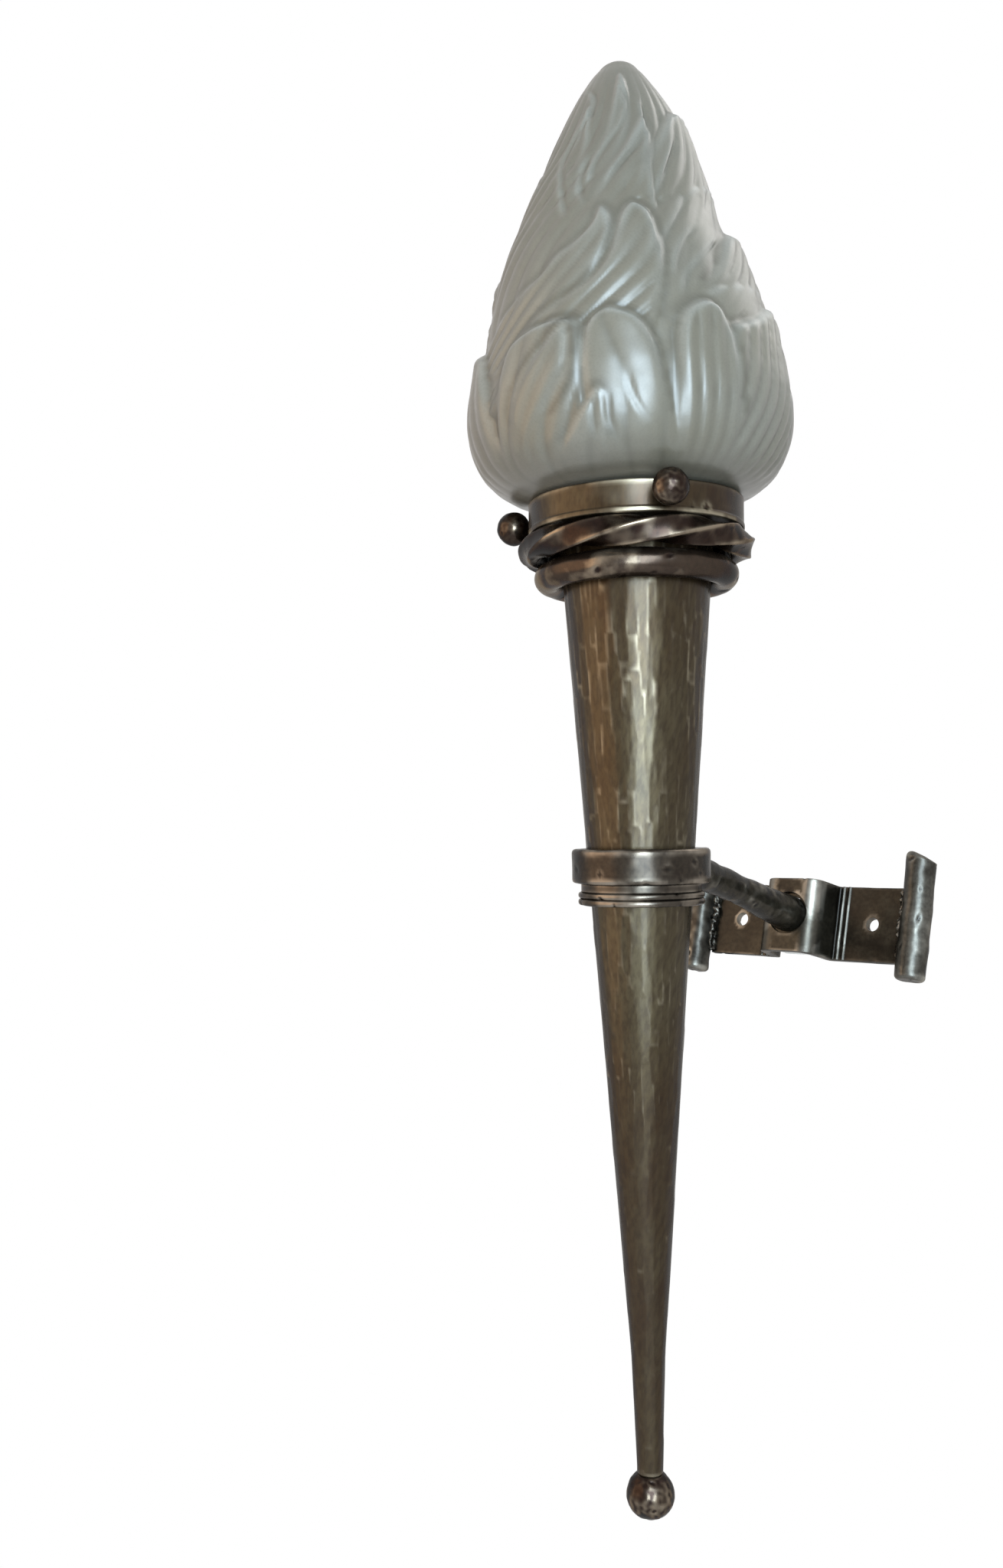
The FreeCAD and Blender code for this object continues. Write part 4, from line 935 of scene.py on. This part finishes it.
def flame_outline():
    """The flame's wall before its leaves: up the outside from the neck, and down the inside."""
    rows = arcs([(0, FLAME_FOOT), (0, FLAME_TIP)], fine=0.83)
    heights = np.array([row.y for row in rows[1:-1]])
    outline = arcs([(NECK_RADIUS, GLASS_FOOT), (NECK_RADIUS, NECK_TOP, 0.8), (44, 153.2),
                    (50.4, FLAME_FOOT)], fine=1.2)
    outline += [Vector(pair) for pair in zip(through(FLAME_BODY, heights), heights)]
    outline.append(Vector((0, FLAME_TIP)))
    outline.append(Vector((0, 334.6)))
    heights = np.linspace(334, 158, 44)
    radii = np.maximum(through(FLAME_BODY, heights) - FLAME_WALL, 0.5)
    outline += [Vector(pair) for pair in zip(radii, heights)]
    bore = NECK_RADIUS - GLASS_WALL
    outline += arcs([(46.5, 156.4), (bore, 154.5), (bore, GLASS_FOOT), (NECK_RADIUS, GLASS_FOOT)],
                    fine=3)
    return outline


def make_flame():
    """The frosted glass flame: turned as a plain bud, then its leaves are drawn out of it."""
    flame = turned("glass_flame", flame_outline(), steps=320)
    spots = places(flame) / MM
    angle = np.degrees(np.arctan2(spots[:, 1], spots[:, 0])) - CAMERA_SIDE
    height, radius = spots[:, 2], np.hypot(spots[:, 0], spots[:, 1])
    body = through(FLAME_BODY, height)
    outside = (radius > body - 1.0) & (height > 153.0)
    seen = angle[outside], height[outside], body[outside]
    leaves, leaf_painted_highlight, leaf_painted_shade = leaf_relief(*seen)
    folds, ridges, fold_painted_shade = drawn_folds(*seen)
    # painted shade, growing darker towards the tip
    shadow = 0.25 * np.clip((height[outside] - 225) / 60, 0, 1)
    raised, crest, painted_shade = (np.zeros(len(spots)) for _ in range(3))
    raised[outside] = leaves + folds
    # the painted highlight on the leaves' lips and the folds' ridges
    crest[outside] = np.maximum(leaf_painted_highlight, ridges)
    painted_shade[outside] = np.maximum(np.maximum(leaf_painted_shade, fold_painted_shade), shadow)
    raised *= np.clip((height - 154) / 9, 0, 1) * np.clip((FLAME_TIP - height) / 10, 0, 1)
    raised = (raised + evened(flame, raised, 1)[:, 0]) / 2
    # the painted highlight and painted shade, kept at each vertex for the glass's finish
    for name, marks in (("crest", crest), ("painted_shade", painted_shade)):
        note(flame, name, np.clip(1.15 * evened(flame, marks, 1)[:, 0], 0, 1))
    spots[:, :2] *= ((radius + raised) / np.maximum(radius, 1e-6))[:, None]
    sway = through(FLAME_SWAY, height)
    right = math.radians(CAMERA_SIDE + 90)
    spots[:, 0] += sway * math.cos(right)
    spots[:, 1] += sway * math.sin(right)
    move_to(flame, spots * MM)
    put(flame, TORCH)
    bpy.ops.object.shade_smooth()
    flame.data.materials.clear()
    flame.data.materials.append(SATIN_GLASS)
    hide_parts("glass_shade")
    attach(flame, "shade")


# -------- bracket


def make_arm():
    """The forged arm: thick at its root, waisted, and hollow for the leads."""
    lengths, radii = zip(*ARM_SKIN)
    root, end = lengths[0], lengths[-1]

    def skin(length):
        return float(np.interp(length, lengths, radii))

    outline = arcs([(ARM_BORE, root), (radii[0], root, 2.2), *zip(radii[1:], lengths[1:])], fine=1.0)
    outline += arcs([(ARM_BORE, end), (ARM_BORE, root)], fine=6)
    arm = turned("arm_forged", outline, steps=96)
    planish(arm, blows=90, across=(6, 9), along=(10, 22), depth=0.25, seed=8, skin=skin)
    knock(arm, spread=15, depth=0.6, seed=6, nicks=10)
    finish_off(arm, ARM, FORGED, ["arm"], smooth=60)


def strap_outline():
    """The strap's edge seen from above: its front with the bump and ridges, then its back."""
    thick, crest, foot = STRAP_THICK, BUMP_CREST, BUMP_FOOT
    ridges = []
    for away in RIDGES_FROM_FOOT:
        start = foot + away
        ridges += [(start, -thick, 0.3), (start + RIDGE_WIDTH / 2, -thick - RIDGE_HEIGHT, 0.5),
                   (start + RIDGE_WIDTH, -thick, 0.3)]
    left_ridges = [(-x, y, edge) for x, y, edge in reversed(ridges)]
    front = [(-STRAP_HALF, -thick), *left_ridges, (-foot, -thick, BUMP_CREASE),
             (-crest, -BUMP_DEPTH, BUMP_CORNER), (crest, -BUMP_DEPTH, BUMP_CORNER),
             (foot, -thick, BUMP_CREASE), *ridges, (STRAP_HALF, -thick)]
    back = [(STRAP_HALF, 0), (foot - thick, 0, BUMP_CREASE + thick / 2),
            (crest - thick, thick - BUMP_DEPTH, BUMP_CORNER - thick),
            (thick - crest, thick - BUMP_DEPTH, BUMP_CORNER - thick),
            (thick - foot, 0, BUMP_CREASE + thick / 2), (-STRAP_HALF, 0)]
    return arcs(front, fine=1.3) + arcs(back, fine=1.3)


def strap_drills():
    """A rod for each wall screw's hole, and one for the arm's."""
    behind, length = 3, 12
    drills = []
    for side in (-1, 1):
        place = (Matrix.Translation((side * WALL_HOLE_SPACING / 2 * MM, behind * MM, 0))
                 @ Matrix.Rotation(math.pi / 2, 4, "X"))
        drills.append(drill_rod(WALL_HOLE_RADIUS, length, place))
    place = ARM @ Matrix.Translation((0, 0, ARM_SKIN[0][0] * MM))
    drills.append(drill_rod(ARM_HOLE_RADIUS, length, place))
    return drills


def make_strap():
    """The flat strap with its hollow bump, drilled for the arm and two wall screws."""
    strap = draw("wall_strap_forged", strap_outline(), close=True)
    step = STRAP_HEIGHT / STRAP_ROWS
    for _ in range(STRAP_ROWS):
        bpy.ops.mesh.extrude_region_move(TRANSFORM_OT_translate={"value": (0, step * MM, 0)})
    tidy_shell()
    bpy.ops.object.mode_set(mode="OBJECT")
    # drawn flat: its outline lies in XZ and its height along Y
    lay = Matrix(((1, 0, 0, 0), (0, 0, 1, 0), (0, -1, 0, STRAP_HEIGHT / 2 * MM), (0, 0, 0, 1)))
    put(strap, lay)
    soften = strap.modifiers.new("soften", "BEVEL")
    soften.width, soften.segments, soften.limit_method = STRAP_EDGE * MM, 3, "ANGLE"
    soften.angle_limit = math.radians(50)
    bpy.ops.object.modifier_apply(modifier=soften.name)
    drilled(strap, strap_drills())
    knock(strap, spread=20, depth=0.26, seed=1, nicks=24)
    keep_flat_to_wall(strap)
    finish_off(strap, Matrix.Identity(4), FORGED, ["wall_strap"], smooth=45)


def keep_flat_to_wall(piece):
    """Nothing reaches behind the plane of the wall."""
    spots = places(piece)
    spots[:, 1] = np.minimum(spots[:, 1], 0)
    move_to(piece, spots)


def make_end_bar(side, sign, above, below, slant):
    """A round bar stood across the strap's end, with a slanting top."""
    half = STRAP_HEIGHT / 2
    foot, top = -half - below, half + above
    outline = arcs([(0, foot), (END_BAR_RADIUS, foot, END_BAR_FOOT_ROUND),
                    (END_BAR_RADIUS, top, END_BAR_TOP_ROUND), (0, top)], fine=0.9)
    bar = turned(f"end_bar_{side}_forged", outline, steps=88)
    spots = places(bar) / MM
    share = np.clip((spots[:, 2] - top + END_BAR_SLANTED) / END_BAR_SLANTED, 0, 1) ** 1.5
    spots[:, 2] -= share * slant * (spots[:, 0] + END_BAR_RADIUS)
    move_to(bar, spots * MM)
    knock(bar, spread=13, depth=0.5, seed=12 + sign, nicks=12, nick=(1.0, 2.0))
    put(bar, Matrix.Translation((sign * END_BAR_SPACING / 2 * MM, -END_BAR_RADIUS * MM, 0)))
    keep_flat_to_wall(bar)
    finish_off(bar, Matrix.Identity(4), RUBBED_IRON, [f"end_bar_{side}"], smooth=60)


def make_weld_beads():
    """Lumpy weld beads in the corners between the strap and the end bars."""
    half = WELD_LENGTH / 2
    beads = []
    for sign in (-1, 1):
        outline = arcs([(0, -half), (WELD_RADIUS, -half, 1.4), (WELD_RADIUS, half, 1.4), (0, half)],
                       fine=0.5)
        bead = turned(f"weld_bead_{sign}", outline, steps=40)
        knock(bead, spread=2.4, depth=1.5, seed=30 + sign, nicks=10)
        beads.append(put(bead, Matrix.Translation((sign * STRAP_HALF * MM, -WELD_OUT * MM, 0))))
    welds = joined(beads, "end_bar_welds_run")
    finish_off(welds, Matrix.Identity(4), FORGED, ["end_bar_welds"], smooth=60)


# -------- studio

FLOOR_HEIGHT, FLOOR_OUT, FLOOR_RADIUS, FLOOR_TONE = -520.0, 150.0, 620.0, 0.62
CAMERA_PLACE = (349.98, -596.50, -113.36)
CAMERA_TURN = (103.2096, -9.6964, 41.5085)
CAMERA_LENS, CAMERA_SENSOR = 31.983, 36


def seen_rays(tree):
    """One for the rays by which the eye, metal and glass see the background, else nought."""
    rays = tree.nodes.new("ShaderNodeLightPath").outputs
    seen = rays["Is Camera Ray"]
    for kind in ("Is Glossy Ray", "Is Transmission Ray"):
        either = add_node(tree, "Math", {0: seen, 1: rays[kind]})
        either.operation, either.use_clamp = "ADD", True
        seen = either.outputs[0]
    return seen


def make_floor():
    """A plain pale floor well below the hung light; the camera sees it white but for shadow."""
    deselect()
    bpy.ops.mesh.primitive_circle_add(vertices=128, radius=FLOOR_RADIUS * MM, fill_type="NGON",
                                      location=(0, -FLOOR_OUT * MM, FLOOR_HEIGHT * MM))
    floor = bpy.context.object
    floor.name = "studio_floor"
    material, tree, skin = new_finish("pale floor")
    feed(tree, skin, {"Base Color": [FLOOR_TONE] * 3, "Roughness": 0.9,
                      "Specular IOR Level": 0.0, "Emission Color": (1, 1, 1),
                      "Emission Strength": times(tree, seen_rays(tree), FLOOR_TONE)})
    floor.data.materials.append(material)


def make_world():
    """White behind the object for the eye, and for what metal and glass show; soft light from it."""
    world = bpy.data.worlds.new("studio")
    bpy.context.scene.world = world
    world.use_nodes = True
    tree = world.node_tree
    tree.nodes.clear()
    soft = add_node(tree, "Background", {"Color": (0.93, 0.96, 1.0), "Strength": 0.36})
    seen = add_node(tree, "Background", {"Color": (1, 1, 1)})
    mix = add_node(tree, "MixShader", {"Fac": seen_rays(tree), 1: soft.outputs[0],
                                       2: seen.outputs[0]})
    add_node(tree, "OutputWorld", {"Surface": mix.outputs[0]})


def make_lamp(name, place, aim, width, height, power, colour):
    """A soft lamp at a place in mm, aimed at a point in mm."""
    deselect()
    bpy.ops.object.light_add(type="AREA", location=[v * MM for v in place])
    lamp = bpy.context.object
    lamp.name = name
    lamp.data.shape, lamp.data.size, lamp.data.size_y = "RECTANGLE", width * MM, height * MM
    lamp.data.energy, lamp.data.color = power, colour
    way = (Vector(aim) - Vector(place)) * MM
    lamp.rotation_euler = way.to_track_quat("-Z", "Y").to_euler()


def make_camera():
    """The camera that was fitted to the photograph."""
    deselect()
    bpy.ops.object.camera_add(location=[v * MM for v in CAMERA_PLACE],
                              rotation=[math.radians(v) for v in CAMERA_TURN])
    camera = bpy.context.object
    camera.data.sensor_fit = "AUTO"
    camera.data.sensor_width = camera.data.sensor_height = CAMERA_SENSOR
    camera.data.lens = CAMERA_LENS
    camera.data.clip_start = 0.01
    bpy.context.scene.camera = camera


def make_studio():
    """A white background, a tall window light, a weak warm fill, a weak lamp overhead, a camera."""
    make_floor()
    make_world()
    make_lamp("window_softbox", place=(655, -842, 0), aim=(0, -150, 0), width=440, height=960,
              power=25, colour=(0.68, 0.86, 1.0))
    make_lamp("warm_fill", place=(-500, -860, -40), aim=(0, -150, -40), width=860, height=940,
              power=4.0, colour=(1.0, 0.62, 0.30))
    make_lamp("top_softbox", place=(260, 330, 1050), aim=(0, -150, 120), width=600, height=600,
              power=2.2, colour=(1.0, 0.98, 0.94))
    make_camera()
    bpy.context.scene.view_settings.view_transform = "Standard"


dress_carried_nodes()
make_torch_cone()
make_finial()
make_collar()
make_round_ring()
make_twisted_ring()
make_gallery()
make_screws()
make_flame()
make_arm()
make_strap()
make_end_bar("left", sign=-1, above=9.0, below=10.0, slant=0.15)
make_end_bar("right", sign=1, above=18.0, below=8.0, slant=0.45)
make_weld_beads()
make_studio()
